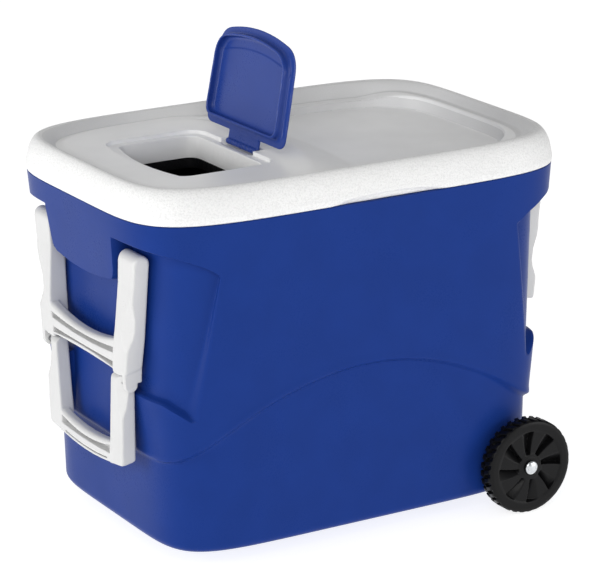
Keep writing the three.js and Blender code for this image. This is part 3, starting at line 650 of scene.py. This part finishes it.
def outer_shell():
    """The shell's outer face from the base up, over the seam, and down its inside."""
    angle, z = shell_grid()
    x, y = shell_point(angle, z)
    outside = stack([x, y, z], -1)
    outside[-1, :, 2] -= 0.7
    inside = [level_ring(angle[-1], *size, z=height) for height, *size in SHELL_INSIDE]
    rings = np.concatenate([outside, inside])
    rings[..., 2] -= BELLY * clip(1 - rings[..., 2] / BELLY_TOP, 0, 1)
    return ring_mesh("cooler_shell", rings, sharp_degrees=35)


def box_piece(name, low, high):
    """A plain block, used only as a tool on another piece."""
    (x0, y0, z0), (x1, y1, z1) = low, high
    corners = [(x, y, z) for z in (z0, z1) for x, y in ((x0, y0), (x1, y0), (x1, y1), (x0, y1))]
    faces = [(3, 2, 1, 0), (4, 5, 6, 7), (0, 1, 5, 4), (1, 2, 6, 5), (2, 3, 7, 6), (3, 0, 4, 7)]
    return link_mesh(name, corners, faces)


def combine(piece, tool, operation):
    """Joins the tool to the piece, or cuts it out, for good."""
    change = piece.modifiers.new("combine", "BOOLEAN")
    change.operation = operation
    change.solver = "EXACT"
    change.object = tool
    bpy.context.view_layer.objects.active = piece
    bpy.ops.object.modifier_apply(modifier=change.name)
    bpy.data.objects.remove(tool)


RIB, SEAT = 20.0, 5.35  # half the width of the rib under the axle, and of the groove that it lies in
shell = outer_shell()
rib = box_piece("axle_rib", (AXLE_X - RIB, -186, -2), (AXLE_X + RIB, 186, 46))
groove = box_piece("axle_groove", (AXLE_X - SEAT, -240, -9), (AXLE_X + SEAT, 240, AXLE_Z + SEAT))
combine(shell, rib, "UNION")
combine(shell, groove, "DIFFERENCE")
finish(shell, "box", "blue_shell", "outer_shell")

# ---------- lid ----------

WELL_CENTRE = -146.0
WELL_OPENING = (-206.0, -85.0, 91.5, 16.0)  # x from, x to, half width, corner
WELL_STEP = (-219.0, -74.0, 101.0, 24.0)
WELL_DEPTH = 5.0
FREE_EDGE_ARCH = 10.0
HINGE_SLOT, HINGE_SLOT_DEPTH = (-58.0, 40.0), 4.0  # reach in x and half width, and depth below the ledge
WHITE_BOTTOM = LID_LOW[2]
WALL_FOOT = (271.0, 181.0, 5.0)  # half length, half width and corner power at the foot of the rim's wall
TRAY_EDGE = (259.0, 161.5, 4.5)
SHOULDER = (269.0, 179.0, 5.0)
LID_COLUMNS, LINER_COLUMNS = 480, 240
# The outside of the lid from its underside up: inset from its widest outline, and height.
RIM_PROFILE = [
    (12, 424), (8.5, 414.6), (8, 413.6), (3, 413.35), (1.4, 413.5), (0.7, 414.2), (0.35, 415.5),
    (0.2, 416.7), (0.1, 418), (0, 419.3), (0, 420.6), (0.1, 421.9), (0.3, 423.2), (0.5, 424.6), (0.7, 426),
    (1.3, 430), (2.0, 434), (2.9, 438), (4.1, 442), (5.5, 445.8), (7.2, 449.2), (9.0, 451.8), (10.8, 453.6),
    (12.6, 454.6), (14.4, 455.0)]
CREST_PROFILE = [  # over the crest of the rim: inset, height, corner power
    (16, 454.9, 5.4), (17.4, 454.6, 5.35), (18.8, 454.0, 5.2), (20.0, 453.1, 5.1), (20.9, 452, 5.0)]


def arched_outline(x0, x1, half_width, corner, arch):
    """A rounded rectangle in plan, its edge at x0 bowed outwards, as a dense closed line."""
    turn = np.radians(np.arange(0, 91, 7.5))
    straight = half_width - corner
    free_y = np.linspace(straight, -straight, 41)[1:-1]
    free = stack([x0 + arch * (free_y / straight) ** 2, free_y], -1)

    def arc(cx, cy, start):
        a = turn + np.radians(start)
        return stack([cx + corner * cos(a), cy + corner * sin(a)], -1)

    near, far = x0 + arch + corner, x1 - corner
    return np.vstack([arc(far, straight, 0), arc(near, straight, 90), free,
                      arc(near, -straight, 180), arc(far, -straight, 270)])


def reach_of(outline, angle):
    """How far a closed line lies from the well's centre, in given directions."""
    closed = np.vstack([outline, outline[:1]])
    share = np.linspace(0, 1, 12, endpoint=False)[:, None]
    dense = np.vstack([mix(a, b, share) for a, b in zip(closed, closed[1:])])
    dx, dy = dense[:, 0] - WELL_CENTRE, dense[:, 1]
    direction = arctan2(dy, dx)
    order = np.argsort(direction)
    return interp(angle, direction[order], hypot(dx, dy)[order], period=2 * pi)


def well_ring(direction, reach, z):
    """A ring round the well's centre, with its own reach in each direction."""
    x, y = WELL_CENTRE + reach * cos(direction), reach * sin(direction)
    return stack([x, y, np.full_like(x, z)], -1)


def even_angles(half_length, half_width, power, count):
    """Directions whose points lie about evenly round an outline, closer together at its corners."""
    fine = np.linspace(0, 2 * pi, 20001)
    x, y = superellipse(fine, half_length, half_width, power)
    heading = np.unwrap(arctan2(np.gradient(y), np.gradient(x)))
    run = hypot(np.diff(x), np.diff(y)) + 90 * abs(np.diff(heading))  # a turn counts as length
    travelled = np.concatenate([[0], np.cumsum(run)])
    return interp(np.arange(count) / count * travelled[-1], travelled, fine)


def depth_inside(x, y, half_length, half_width, power):
    """Distance in from a rounded rectangle's edge, on the scale of its half width."""
    reach = (abs(x / half_length) ** power + abs(y / half_width) ** power) ** (1 / power)
    return (1 - reach) * half_width


def lid_floor(x, y):
    """Height of the lid's top inside its rim: a pad round the hatch, a ramp, a tray and its ledges."""
    ledge = mix(LEDGE, PAD - 1.5, smooth((x - 196) / 60))
    floor = mix(ledge, TRAY, smooth((depth_inside(x, y, *TRAY_EDGE) + 1) / 4.0))
    bow = (abs(y) / 150) ** 2
    top_edge, foot_edge = -15 - 42 * bow, 39 - 16 * bow  # of the ramp from the pad to the tray
    along = (x - top_edge) / (foot_edge - top_edge)
    falling = 1 - soft_max(soft_min(along, 1.0, 0.10), 0.0, 0.10)
    raised = falling * mix(0.75, 1, smooth((depth_inside(x, y, *SHOULDER) + 1) / 9))
    return mix(floor, PAD, raised)


def spaced_by_slope(start, end, rows):
    """Points on straight lines from start to end over the lid's floor, closer where it is steep."""
    fine = np.linspace(0, 1, 500)[:, None]
    x, y = mix(start[0], end[0], fine), mix(start[1], end[1], fine)
    run = hypot(np.diff(x, axis=0), np.diff(y, axis=0))
    effort = hypot(run, 7 * np.diff(lid_floor(x, y), axis=0)) + 0.15 * run.mean()
    travelled = np.vstack([np.zeros((1, x.shape[1])), np.cumsum(effort, axis=0)])
    share = stack([interp(np.linspace(0, t[-1], rows), t, fine[:, 0]) for t in travelled.T], -1)
    x, y = mix(start[0], end[0], share), mix(start[1], end[1], share)
    return stack([x, y, lid_floor(x, y)], -1)


def grip_depth(x, y, z):
    """How far the finger grip under the lid's front edge goes in."""
    reach = ((x - 18) / 86) ** 2 + ((z - SEAM) / 10) ** 2
    return np.where(y < 0, 3.4 * smooth((1 - reach) * 1.6), 0)


def step_outline():
    """The upper edge of the hatch's ledge, with the slot beside it that the hinge lies in."""
    outline = arched_outline(*WELL_STEP, 0.7 * FREE_EDGE_ARCH)
    x1, y1 = WELL_STEP[1], WELL_STEP[2] - WELL_STEP[3]
    slot_x, slot_y = HINGE_SLOT
    away = outline[abs(outline[:, 0] - x1) > 1e-6]
    slot = [(x1, -y1), (x1, -slot_y), (slot_x, -slot_y), (slot_x, slot_y)]
    return np.vstack([[(x1, slot_y), (x1, y1)], away, slot])


def around_well(count):
    """Angles round the lid, its wall's foot there, and the directions and reach of the well's opening."""
    angle = even_angles(*LID, LID_POWER, count)
    foot = stack(superellipse(angle, *WALL_FOOT), -1)
    direction = arctan2(foot[:, 1], foot[:, 0] - WELL_CENTRE)
    opening = reach_of(arched_outline(*WELL_OPENING, FREE_EDGE_ARCH), direction)
    return angle, foot, direction, opening


def lid_rings():
    """Rings from the lid's underside over its rim, in over its floor and down the well, and the rows
    where its grained wall and its smooth floor start."""
    angle, foot, direction, opening = around_well(LID_COLUMNS)
    step = reach_of(step_outline(), direction)
    ledge = PAD - WELL_DEPTH

    def level(inset, z, power=LID_POWER):
        ring = level_ring(angle, LID[0] - inset, LID[1] - inset, power, z)
        ring[:, 1] += grip_depth(*ring.T)
        return ring

    def ledge_ring(reach, lift=0.0):
        ring = well_ring(direction, reach, ledge + lift)
        x, y = ring[:, 0], ring[:, 1]
        slot = smooth(HINGE_SLOT[1] - abs(y) + 0.5) * smooth((x - WELL_STEP[1] + 2) / 2)
        ring[:, 2] -= HINGE_SLOT_DEPTH * slot
        return ring

    outside = [level(*row) for row in RIM_PROFILE]
    crest = [level(*row) for row in CREST_PROFILE]
    crest_inset, crest_height, crest_power = CREST_PROFILE[-1]
    wall_top = (LID[0] - crest_inset, LID[1] - crest_inset, crest_power)
    foot_height = lid_floor(*foot.T)
    wall = [level_ring(angle, *(mix(a, b, share) for a, b in zip(WALL_FOOT, wall_top)),
                       z=mix(foot_height, crest_height, lift))
            for share, lift in ((0.72, 0.80), (0.45, 0.5), (0.2, 0.2), (0.08, 0.06))]
    well_edge = well_ring(direction, step + 1.3, 0)
    floor = spaced_by_slope((well_edge[:, 0], well_edge[:, 1]), (foot[:, 0], foot[:, 1]), 120)[::-1]
    rim_drop = [well_ring(direction, step + out, PAD - down)
                for out, down in ((0.7, 0.1), (0.25, 0.4), (0, 1.0))]
    rim_drop += [ledge_ring(step - out, lift) for out, lift in ((0.1, 1.6), (0.4, 0.7), (1.2, 0.1))]
    shelf = [ledge_ring(mix(opening, step, share) + add)
             for share, add in ((0.9, -1.2), (0.65, 0), (0.5, 0), (0.43, 0), (0.36, 0), (0.2, 0), (0, 1.4))]
    drop = [well_ring(direction, opening + out, z) for out, z in (
        (0.7, ledge - 0.15), (0.2, ledge - 0.6), (0, ledge - 1.4), (-0.6, ledge - 9),
        (-1.2, WHITE_BOTTOM + 0.5), (-0.9, WHITE_BOTTOM), (1.4, WHITE_BOTTOM), (2.4, WHITE_BOTTOM + 0.5),
        (2.6, 424))]
    rings = np.array(outside + crest + wall + list(floor) + rim_drop + shelf + drop)
    return rings, len(outside) + 1, len(outside) + len(crest) + len(wall) + 2


def lid_top():
    """The white lid: pebbled outside, grained on the walls and smooth on the floor. The grained walls'
    darker white is painted shade.
    """
    rings, wall_row, floor_row = lid_rings()
    lid = ring_mesh("lid_moulding", rings, looped=True, sharp_degrees=60)
    paint_rings(lid, LID_COLUMNS, (0, white_pebbled), (wall_row, grained_white_painted_shade), (floor_row, white_smooth))
    # The tray's steep walls take the darker grained white: painted shade on them.
    for face in lid.data.polygons:
        height = face.center.z * 1000 - GROUND
        steep = face.normal.z < 0.93
        if face.material_index == 2 and steep and face.center.x > 0 and TRAY < height < LEDGE + 4:
            face.material_index = 1
    return lid


finish(lid_top(), "lid", "white_lid", "lid_top")


def liner_rings(angle, rows):
    """Rings from half length, half width and height. Wide ones have the lid's corners, others the box's."""
    return [level_ring(angle, a, b, LID_POWER if a > 250 else BASE_POWER, z) for a, b, z in rows]


def lid_liner():
    """The black underside of the lid, with a sleeve round the well. Its black is painted shade for the dark
    seen down the well.
    """
    angle, _, direction, opening = around_well(LINER_COLUMNS)
    bottom = box_mm("lid_liner")[0][2]
    plug = [(290, 200, SEAM + 4), (290.3, 200.3, SEAM + 1), (289.6, 199.6, SEAM + 0.6),
            (233, 165, SEAM + 0.6), (230.6, 162.6, SEAM), (229.6, 161.6, 411), (228.6, 160.6, 405),
            (227, 159, 402), (224, 156, 400.4), (219, 151, bottom)]
    sleeve = [(6, bottom), (1.2, bottom), (0.3, bottom + 0.3), (0, bottom + 1.2), (-0.4, WHITE_BOTTOM - 0.4),
              (2.6, WHITE_BOTTOM - 0.4), (2.8, bottom + 4), (8, bottom + 3)]
    back = [(217, 149, bottom + 3), (224, 156, bottom + 6), (227, 159, SEAM + 3.9)]
    sleeve = [well_ring(direction, opening + out, z) for out, z in sleeve]
    rings = liner_rings(angle, plug) + sleeve + liner_rings(angle, back)
    return ring_mesh("lid_liner_moulding", rings, looped=True)


finish(lid_liner(), "lid", "black_liner", "lid_liner")


def inner_liner():
    """The black tub, from its floor's underside up, over its flange and down its inside. Its black is
    painted shade for the dark seen down the well.
    """
    angle = even_angles(236, 168, BASE_POWER, LINER_COLUMNS)
    return ring_mesh("liner_tub", liner_rings(angle, [
        (196, 129, 55), (209, 142, 56), (216, 149, 60), (220, 153, 67), (230.5, 162, 240), (239, 171, 409),
        (292.6, 203.6, 409), (293, 204, 409.4), (293, 204, 412.2), (292.6, 203.6, 412.6),
        (238.6, 170.6, 412.6), (237, 169, 412), (236.2, 168.2, 410.4), (227.5, 159, 240), (218.4, 151.4, 90),
        (215.6, 148.6, 75), (211, 144, 67), (204, 137, 62), (194, 127, 59), (178, 111, 58)]))


finish(inner_liner(), "box", "black_liner", "inner_liner")

# ---------- hatch ----------

HATCH_FROM, HATCH_TO, HATCH_CORNER = -211.2, -80.0, 24.0
HATCH_TOP, HATCH_CROWN = PAD + 0.3, 0.9
SKIRT_DEPTH = 13.8
BARREL_RADIUS, BARREL_BORE, BARREL_HALF = 4.1, 2.3, 36.5
KNUCKLE_PITCH = 7.2  # of the grooves round the barrel


def hatch_field(x, y, z):
    """The hatch as it lies shut: a plate, a deep skirt that plugs the well, a tab and its barrel."""
    half_width = interp(x, (-200, -90), (93.5, 96.8))

    def inside_by(inset, end_inset, corner):
        free = HATCH_FROM + inset + FREE_EDGE_ARCH * (y / 78) ** 2 - x
        sides = soft_max(abs(y) - half_width + inset, x - HATCH_TO + end_inset, 0.6 * corner)
        return soft_max(sides, free, corner)

    middle = (HATCH_FROM + HATCH_TO) / 2
    dome = HATCH_TOP - HATCH_CROWN * ((y / half_width) ** 2 + ((x - middle) / 66) ** 2) * 0.5
    arc = HATCH_FROM + 27 + 1.5 * FREE_EDGE_ARCH * (y / half_width) ** 2
    underside = HATCH_TOP - 3.4 - 0.7 * smooth((x - arc) / 1.6 + 0.5)
    plate = soft_max(inside_by(0, 0, HATCH_CORNER), z - dome, 2.2)
    plate = soft_max(plate, underside - z, 0.8)
    skirt = soft_max(inside_by(9.2, 10.5, HATCH_CORNER), -inside_by(12.4, 13.8, HATCH_CORNER - 4), 0.8)
    skirt = soft_max(soft_max(skirt, HATCH_TOP - SKIRT_DEPTH - z, 1.2), z - HATCH_TOP + 1.5, 0.5)
    solid = soft_max(soft_min(plate, skirt, 5.0), z - dome, 1.0)
    tab = maximum(abs(y) - BARREL_HALF, maximum(HATCH_TO - 3 - x, x - HATCH_X - 1))
    tab = soft_max(soft_max(tab, z - HATCH_TOP + 0.2, 1.5), HATCH_TOP - 4.0 - z, 1.0)
    radius = hypot(x - HATCH_X, z - HATCH_Z)
    barrel = soft_max(radius - BARREL_RADIUS, abs(y) - BARREL_HALF, 0.8)
    teeth = abs(np.mod(y + KNUCKLE_PITCH / 2, KNUCKLE_PITCH) - KNUCKLE_PITCH / 2) - 0.5
    barrel = maximum(barrel, -maximum(teeth, 2.9 - radius))
    solid = soft_min(solid, soft_min(tab, barrel, 1.0), 1.2)
    return soft_max(solid, BARREL_BORE - radius, 0.4)


def swing_open(piece):
    """Turns a piece modelled shut about the hatch pin, to where the frame rests."""
    axis = Vector((HATCH_X, 0, HATCH_Z + GROUND)) / 1000
    turn = Matrix.Translation(axis) @ Matrix.Rotation(HATCH_OPEN, 4, "Y") @ Matrix.Translation(-axis)
    piece.data.transform(turn)
    piece.data.update()


hatch = field_mesh("hatch_panel", hatch_field, (-212, -98, 432), (-61, 98, 448), 1.0)
swing_open(hatch)
finish(hatch, "hatch", "blue_hatch", "hatch_door")

# ---------- handles ----------
# Modelled at the wheel end. Their outlines are heights, then values: an arm's outer and inner reach in
# Y, its front and back in X, and the width of the facet along its front.

HANDLE_STEP = 1.15
CARRY = {
    "outer": ([208, 214, 247, 285, 312, 363], [114, 114.2, 119.4, 125, 129, 137]),
    "inner": ([214, 256, 272, 329, 369], [80.5, 86.5, 88.5, 91.4, 94]),
    "front": ([214, 256, 329], [294.4, 295.3, 289.5]),
    "back": ([214, 262, 300, PIVOT_Z], [271.5, 269.2, 268.9, 268.7]),
    "facet": ([225, 247, 262, 272, 288, 305, 318], [0.8, 2.0, 8.0, 9.5, 8.0, 3.0, 0.9]),
}
LINK = {
    "outer": ([91, 95, 104, 200, 213], [96, 97, 100, 104.5, 105]),
    "inner": ([91, 120, 203, 213], [65.5, 67.3, 74.6, 75.3]),
    "front": ([91, 213], [KNUCKLE_X + 9.0] * 2),
    "back": ([100, 200], [275.2, 276.2]),
    "facet": ([150, 158, 172, 195], [0.8, 1.2, 6.0, 9.5]),
}
CARRY_SLANT, LINK_SLANT = math.radians(28), math.radians(30)
EYE_RADIUS, LINK_EYE_RADIUS = 10.4, 9.05  # the rounded tops round their pins
PIN_HOLE, PIN_HOLE_PLAY = 3.5, 0.3
LUG_RADIUS, LUG_MIDDLE, LUG_HALF, LUG_TOP = 8.1, 110.0, 3.9, 224.0


def arm_field(x, y, outline, slant):
    """A leaning arm with a flat front, and a long facet between its front and its outer side."""
    outer, inner, front, back, facet = outline
    reach = abs(y)
    slab = soft_max(x - front, back - x, 2.5)
    bevel = (x - front + facet) * math.cos(slant) + (reach - outer) * math.sin(slant)
    return soft_max(soft_max(arm_sides(reach, outer, inner), slab, 3.2), bevel, 0.9)


def arm_sides(reach, outer, inner):
    return soft_max(reach - outer, inner - reach, 2.0)


def bar_field(x, y, z, top, bottom, front, back, slots):
    """A bowed crossbar with a rolled top edge, and long pockets in its front."""
    solid = soft_max(soft_max(z - top, x - front, 6.0), soft_max(bottom - z, back - x, 1.5), 2.0)
    for high, low, half_width in slots:
        pocket = soft_max(z - high, low - z, 1.0)
        pocket = maximum(pocket, maximum(abs(y) - half_width, front - 11 - x))
        solid = soft_max(solid, -pocket, 0.9)
    return solid


def knuckle_hole(x, y, z):
    """The blind hole for a knuckle pin, above zero inside it."""
    along = abs(abs(y) - (KNUCKLE_LOW[1] + KNUCKLE_HIGH[1]) / 2)
    half_length = (KNUCKLE_HIGH[1] - KNUCKLE_LOW[1]) / 2 + PIN_HOLE_PLAY
    return minimum(PIN_HOLE - hypot(x - KNUCKLE_X, z - KNUCKLE_Z), half_length - along)


def carry_field(x, y, z):
    """The carry handle: two arms with a rounded eye on top, and a bowed bar between their feet."""
    outline = [interp(z, *profile) for profile in CARRY.values()]
    outer, inner = outline[:2]
    reach = abs(y)
    eye = hypot(x - PIVOT_X, maximum(z - PIVOT_Z, 0)) - EYE_RADIUS
    above = soft_max(arm_sides(reach, outer, inner), eye, 4.5)
    arm = np.where(z > PIVOT_Z, above, arm_field(x, y, outline, CARRY_SLANT))
    foot = 213.4 + 0.24 * maximum(reach - 97, 0) + 0.25 * maximum(292 - x, 0)
    arm = soft_max(arm, foot - z, 3.0)
    bow = clip(y / 83, -1.1, 1.1) ** 2
    slots = [(240.6 + 5.4 * bow, 235.0 + 4.0 * bow, inner - 0.6),
             (226.4 + 0.8 * bow, 224.0 - 4.0 * bow, inner - 0.6)]
    bar_front = interp(z, [214, 256], [293.8, 295.0])
    bar = bar_field(x, y, z, 246.6 + 10.4 * bow, 219.4 - 1.8 * bow, bar_front, 282.3, slots)
    return soft_min(arm, maximum(bar, reach - (inner + 6)), 1.6)


def lugged_carry_field(x, y, z):
    """The carry handle with two lugs below it, which the link's knuckle pins pass into."""
    front, back = (interp(z, *CARRY[key]) for key in ("front", "back"))
    eye = hypot(x - KNUCKLE_X, minimum(z - KNUCKLE_Z, 0)) - LUG_RADIUS
    block = soft_max(soft_max(back - x, x - front + 0.2, 1.0), KNUCKLE_Z + 2.6 - z, 2.0)
    lug = maximum(soft_min(eye, block, 1.5), z - LUG_TOP)
    lug = soft_max(lug, abs(abs(y) - LUG_MIDDLE) - LUG_HALF, 0.8)
    return soft_max(soft_min(carry_field(x, y, z), lug, 1.0), knuckle_hole(x, y, z), 0.3)


def link_field(x, y, z):
    """The tow link: a narrower loop of the same kind, hung on the knuckle pins."""
    outline = [interp(z, *profile) for profile in LINK.values()]
    inner, front, back = outline[1:4]
    arm = arm_field(x, y, outline, LINK_SLANT)
    eye = hypot(x - KNUCKLE_X, maximum(z - KNUCKLE_Z, 0)) - LINK_EYE_RADIUS
    arm = np.where(z > KNUCKLE_Z, soft_max(arm, eye, 1.0), arm)
    foot = 92.4 + 0.14 * maximum(abs(y) - 62, 0) + 0.22 * maximum(front - x - 6, 0)
    arm = soft_max(arm, foot - z, 4.0)
    bow = clip(y / 66, -1.1, 1.1) ** 2
    bottom = 89.4 + 4.6 * bow
    slots = [(108.0 + 8.0 * bow, 103.0 + 2.5 * bow, inner - 0.6), (bottom + 5.0, bottom + 3.5, 58)]
    bar = bar_field(x, y, z, 115.2 + 6.6 * bow, bottom, front - 0.5, back + 6.5, slots)
    solid = soft_min(arm, maximum(bar, abs(y) - (inner + 5)), 1.6)
    return soft_max(solid, knuckle_hole(x, y, z), 0.3)


def mirrored(piece, axis):
    """Turns a piece into its own mirror image along an axis."""
    piece.data.transform(Matrix.Scale(-1, 4, axis))
    piece.data.flip_normals()
    piece.data.update()
    return piece


ALONG_X, ALONG_Y = (1, 0, 0), (0, 1, 0)
CARRY_BOX, LINK_BOX = ((268, -139, 194), (297, 139, 370)), ((274, -106, 88), (296, 106, 214))

wheel_end = field_mesh("handle_at_wheel_end", carry_field, *CARRY_BOX, HANDLE_STEP)
tow_end = mirrored(field_mesh("handle_at_tow_end", lugged_carry_field, *CARRY_BOX, HANDLE_STEP), ALONG_X)
link = mirrored(field_mesh("tow_loop", link_field, *LINK_BOX, HANDLE_STEP), ALONG_X)
finish(wheel_end, "handle_wheel_end", "white_handle", "carry_handle_wheel_end")
finish(tow_end, "handle_tow_end", "white_handle", "carry_handle_tow_end")
finish(link, "tow_link", "white_handle", "tow_link")

# ---------- wheels ----------

VANES, LUGS = 8, 34
LUG_DEPTH, VANE_DEPTH, VANE_SWEEP = 3.2, 10.5, 0.12
HUB, DISH, BACK_HUB, BORE = 13.5, 47.0, 13.0, 5.4  # radii


def polar_xz(x, z):
    """Radius and angle round the axle."""
    return hypot(x - AXLE_X, z - AXLE_Z), arctan2(z - AXLE_Z, x - AXLE_X)


def wheel_field(x, y, z):
    """A moulded wheel: lugs round the tread, a rounded side rim, and swept vanes in its outer face."""
    radius, angle = polar_xz(x, z)
    across = (y - (WHEEL_INNER + WHEEL_OUTER) / 2) / ((WHEEL_OUTER - WHEEL_INNER) / 2)
    stagger = np.where(across > 0, 0.0, 0.5)
    turn = angle * LUGS / (2 * pi) + 0.55 * abs(across) + stagger
    lug = smooth((cos(2 * pi * turn) + 0.35) * 3.0)
    tread = WHEEL_RADIUS - 0.1 - LUG_DEPTH * (1 - lug) * smooth((0.86 - across) / 0.25)
    solid = soft_max(radius - tread, y - WHEEL_OUTER + 1, 6.0)
    solid = soft_max(solid, np.where(radius > 17, WHEEL_INNER + 6 - y, WHEEL_INNER - y), 1.5)
    sweep = VANE_SWEEP * (radius - 14) / 32
    sector = np.mod((angle + sweep) * VANES / (2 * pi), 1)
    fall = clip(1 - sector / 0.5, 0, 1) ** 1.2 * smooth(sector / 0.06)
    dished = smooth((radius - 16) / 3) * smooth((DISH - radius) / 1.8)
    face = WHEEL_OUTER - 1.4 - dished * (0.6 + VANE_DEPTH * fall)
    rim = smooth((radius - DISH) / 3) * smooth((59 - radius) / 6) * 1.3
    hub = 1.2 * smooth((HUB - radius) / 1.2)
    solid = soft_max(solid, y - face - rim - hub, 0.8)
    hollow = maximum(maximum(BACK_HUB - radius, radius - DISH), y - (WHEEL_INNER + 11.5))
    return soft_max(soft_max(solid, -hollow, 1.0), BORE - radius, 0.4)


def cap_field(x, y, z):
    """The push cap on the end of the axle: a thin dome with a rolled edge and four punch marks."""
    radius, angle = polar_xz(x, z)
    height = y - WHEEL_OUTER
    dome = 4.75 - 0.028 * radius**2 - 0.25 * smooth((radius - 7.4) / 0.8)
    marked = smooth((radius - 4.4) / 0.6) * smooth((7.2 - radius) / 0.6)
    marks = 0.5 * smooth((cos(4 * angle) - 0.72) * 6) * marked
    solid = soft_max(soft_max(radius - 8.9, height - dome + marks, 0.8), 0.45 - height, 0.3)
    return maximum(solid, -maximum(radius - 5.3, height - 2.6))


def make_pair(name, field, low, high, step, slot, node, body=None):
    """A rear piece and its mirror image at the front, each for its own CAD node. They ride on the body
    given, or each on the one named like its node."""
    rear = field_mesh(f"{name}_rear", field, low, high, step)
    front = mirrored(new_object(f"{name}_front", rear.data.copy()), ALONG_Y)
    for side, piece in (("rear", rear), ("front", front)):
        finish(piece, body or f"{node}_{side}", slot, f"{node}_{side}")


make_pair("wheel_moulding", wheel_field, WHEEL_LOW, WHEEL_HIGH, 1.0, "black_wheel", "wheel")
make_pair("axle_cap", cap_field, (AXLE_X - 9, WHEEL_OUTER, AXLE_Z - 9),
          (AXLE_X + 9, WHEEL_OUTER + 5, AXLE_Z + 9), 0.3, "zinc", "push_cap", "box")

# ---------- drain, hinge screws and feet ----------

DRAIN_LUGS, DRAIN_BORE, DRAIN_Z = 14, 11.5, (DRAIN_LOW[2] + DRAIN_HIGH[2]) / 2


def drain_cap_field(x, y, z):
    """A round cap with a scalloped edge and a bar across it to turn it by, hollow from behind."""
    radius, angle = hypot(y, z - DRAIN_Z), arctan2(z - DRAIN_Z, y)
    outer = (DRAIN_HIGH[1] - DRAIN_LOW[1]) / 2 - 0.2 - 0.9 * smooth(cos(DRAIN_LUGS * angle) * 1.6)
    behind, proud = DRAIN_LOW[0] - x, x - DRAIN_HIGH[0]
    solid = soft_max(soft_max(radius - outer, proud + 2.6, 1.6), behind, 0.6)
    grip = soft_max(abs(y) - 2.4, radius - DRAIN_BORE, 1.0)
    grip = soft_max(grip, proud + 0.1, 1.2)
    solid = soft_min(solid, maximum(grip, behind + 5), 1.2)
    return maximum(solid, -maximum(radius - DRAIN_BORE, proud + 4))


drain = field_mesh("drain_cap_moulding", drain_cap_field, DRAIN_LOW, DRAIN_HIGH, 0.6)
finish(drain, "drain_cap", "white_fittings", "drain_cap")

SCREW_HEAD, SCREW_DOME, SCREW_LENGTH, THREAD_PITCH = 4.1, 1.75, 11.8, 1.4


def screw_field(x, y, z):
    """A screw along Y with its cross-headed dome at y = 0."""
    radius = hypot(x, z)
    dome = SCREW_DOME - 0.045 * radius**2
    head = soft_max(soft_max(radius - SCREW_HEAD, y - dome, 0.5), 0.05 - y, 0.2)
    bars = [maximum(abs(a) - 0.5, abs(b) - 2.3) for a, b in ((x, z), (z, x))]
    head = maximum(head, -maximum(minimum(*bars), 0.5 - y))
    thread = 1.75 + 0.2 * cos(2 * pi * y / THREAD_PITCH + arctan2(z, x))
    shank = soft_max(maximum(radius - thread, y - 0.4), -SCREW_LENGTH - y, 0.5)
    return minimum(head, shank)


def make_screws():
    """One mesh for all the hinge screws, each placed on its own CAD node."""
    pattern = field_mesh("screw_pattern", screw_field, (-4.2, -12, -4.2), (4.2, 2, 4.2), 0.4)
    for node in sorted(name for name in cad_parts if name.startswith("hinge_screw_")):
        low, high = box_mm(node)
        screw = new_object("screw_" + node.removeprefix("hinge_screw_"), pattern.data)
        centre = (low + high) / 2
        screw.location = Vector((centre[0], high[1] - 1.8, centre[2])) / 1000
        finish(screw, "lid" if "_lid_" in node else "box", "zinc", node)
    bpy.data.objects.remove(pattern)


make_screws()

GROOVE_PITCH = 18.0


def foot_field(x, y, z):
    """A moulded foot with a softened sole and three grooves across it."""
    low, high = FOOT_LOW, FOOT_HIGH
    taper = 8 * (high[2] - z) / (high[2] - low[2])
    ends = soft_max(low[0] + taper - x, x - high[0] + taper, 3)
    height = soft_max(z - high[2] + BELLY, low[2] - z, 0.5)
    solid = soft_max(soft_max(ends, soft_max(low[1] - y, y - high[1], 3), 5), height, 2.0)
    groove = abs(np.mod(x - low[0], GROOVE_PITCH) - GROOVE_PITCH / 2) - 1.6
    return soft_max(solid, -maximum(groove, z - low[2] - 1.6), 0.6)


make_pair("foot_moulding", foot_field, FOOT_LOW, FOOT_HIGH, 1.2, "blue_shell", "foot", "box")

# ---------- CAD nodes that are shown as they are ----------

for side in ("front", "rear"):
    keep_node(f"wheel_spacer_{side}", "black_wheel", 0.6)
    keep_node(f"knuckle_pin_{side}", "steel")
    for end in ("wheel_end", "tow_end"):
        keep_node(f"handle_pin_{end}_{side}", "steel")
for end in ("tow", "wheel"):
    for part in ("box", "lid"):
        keep_node(f"lid_hinge_{part}_leaf_{end}_side", "white_fittings", 0.8)
    keep_node(f"lid_hinge_pin_{end}_side", "steel", material=hinge_steel)
for row in (("axle", "steel", 0.8), ("hatch_pin", "steel"), ("drain_spout", "white_fittings", 0.5),
            ("drain_gasket", "gasket", 0.3), ("body_foam", "foam", 0), ("lid_foam", "foam", 0)):
    keep_node(*row)
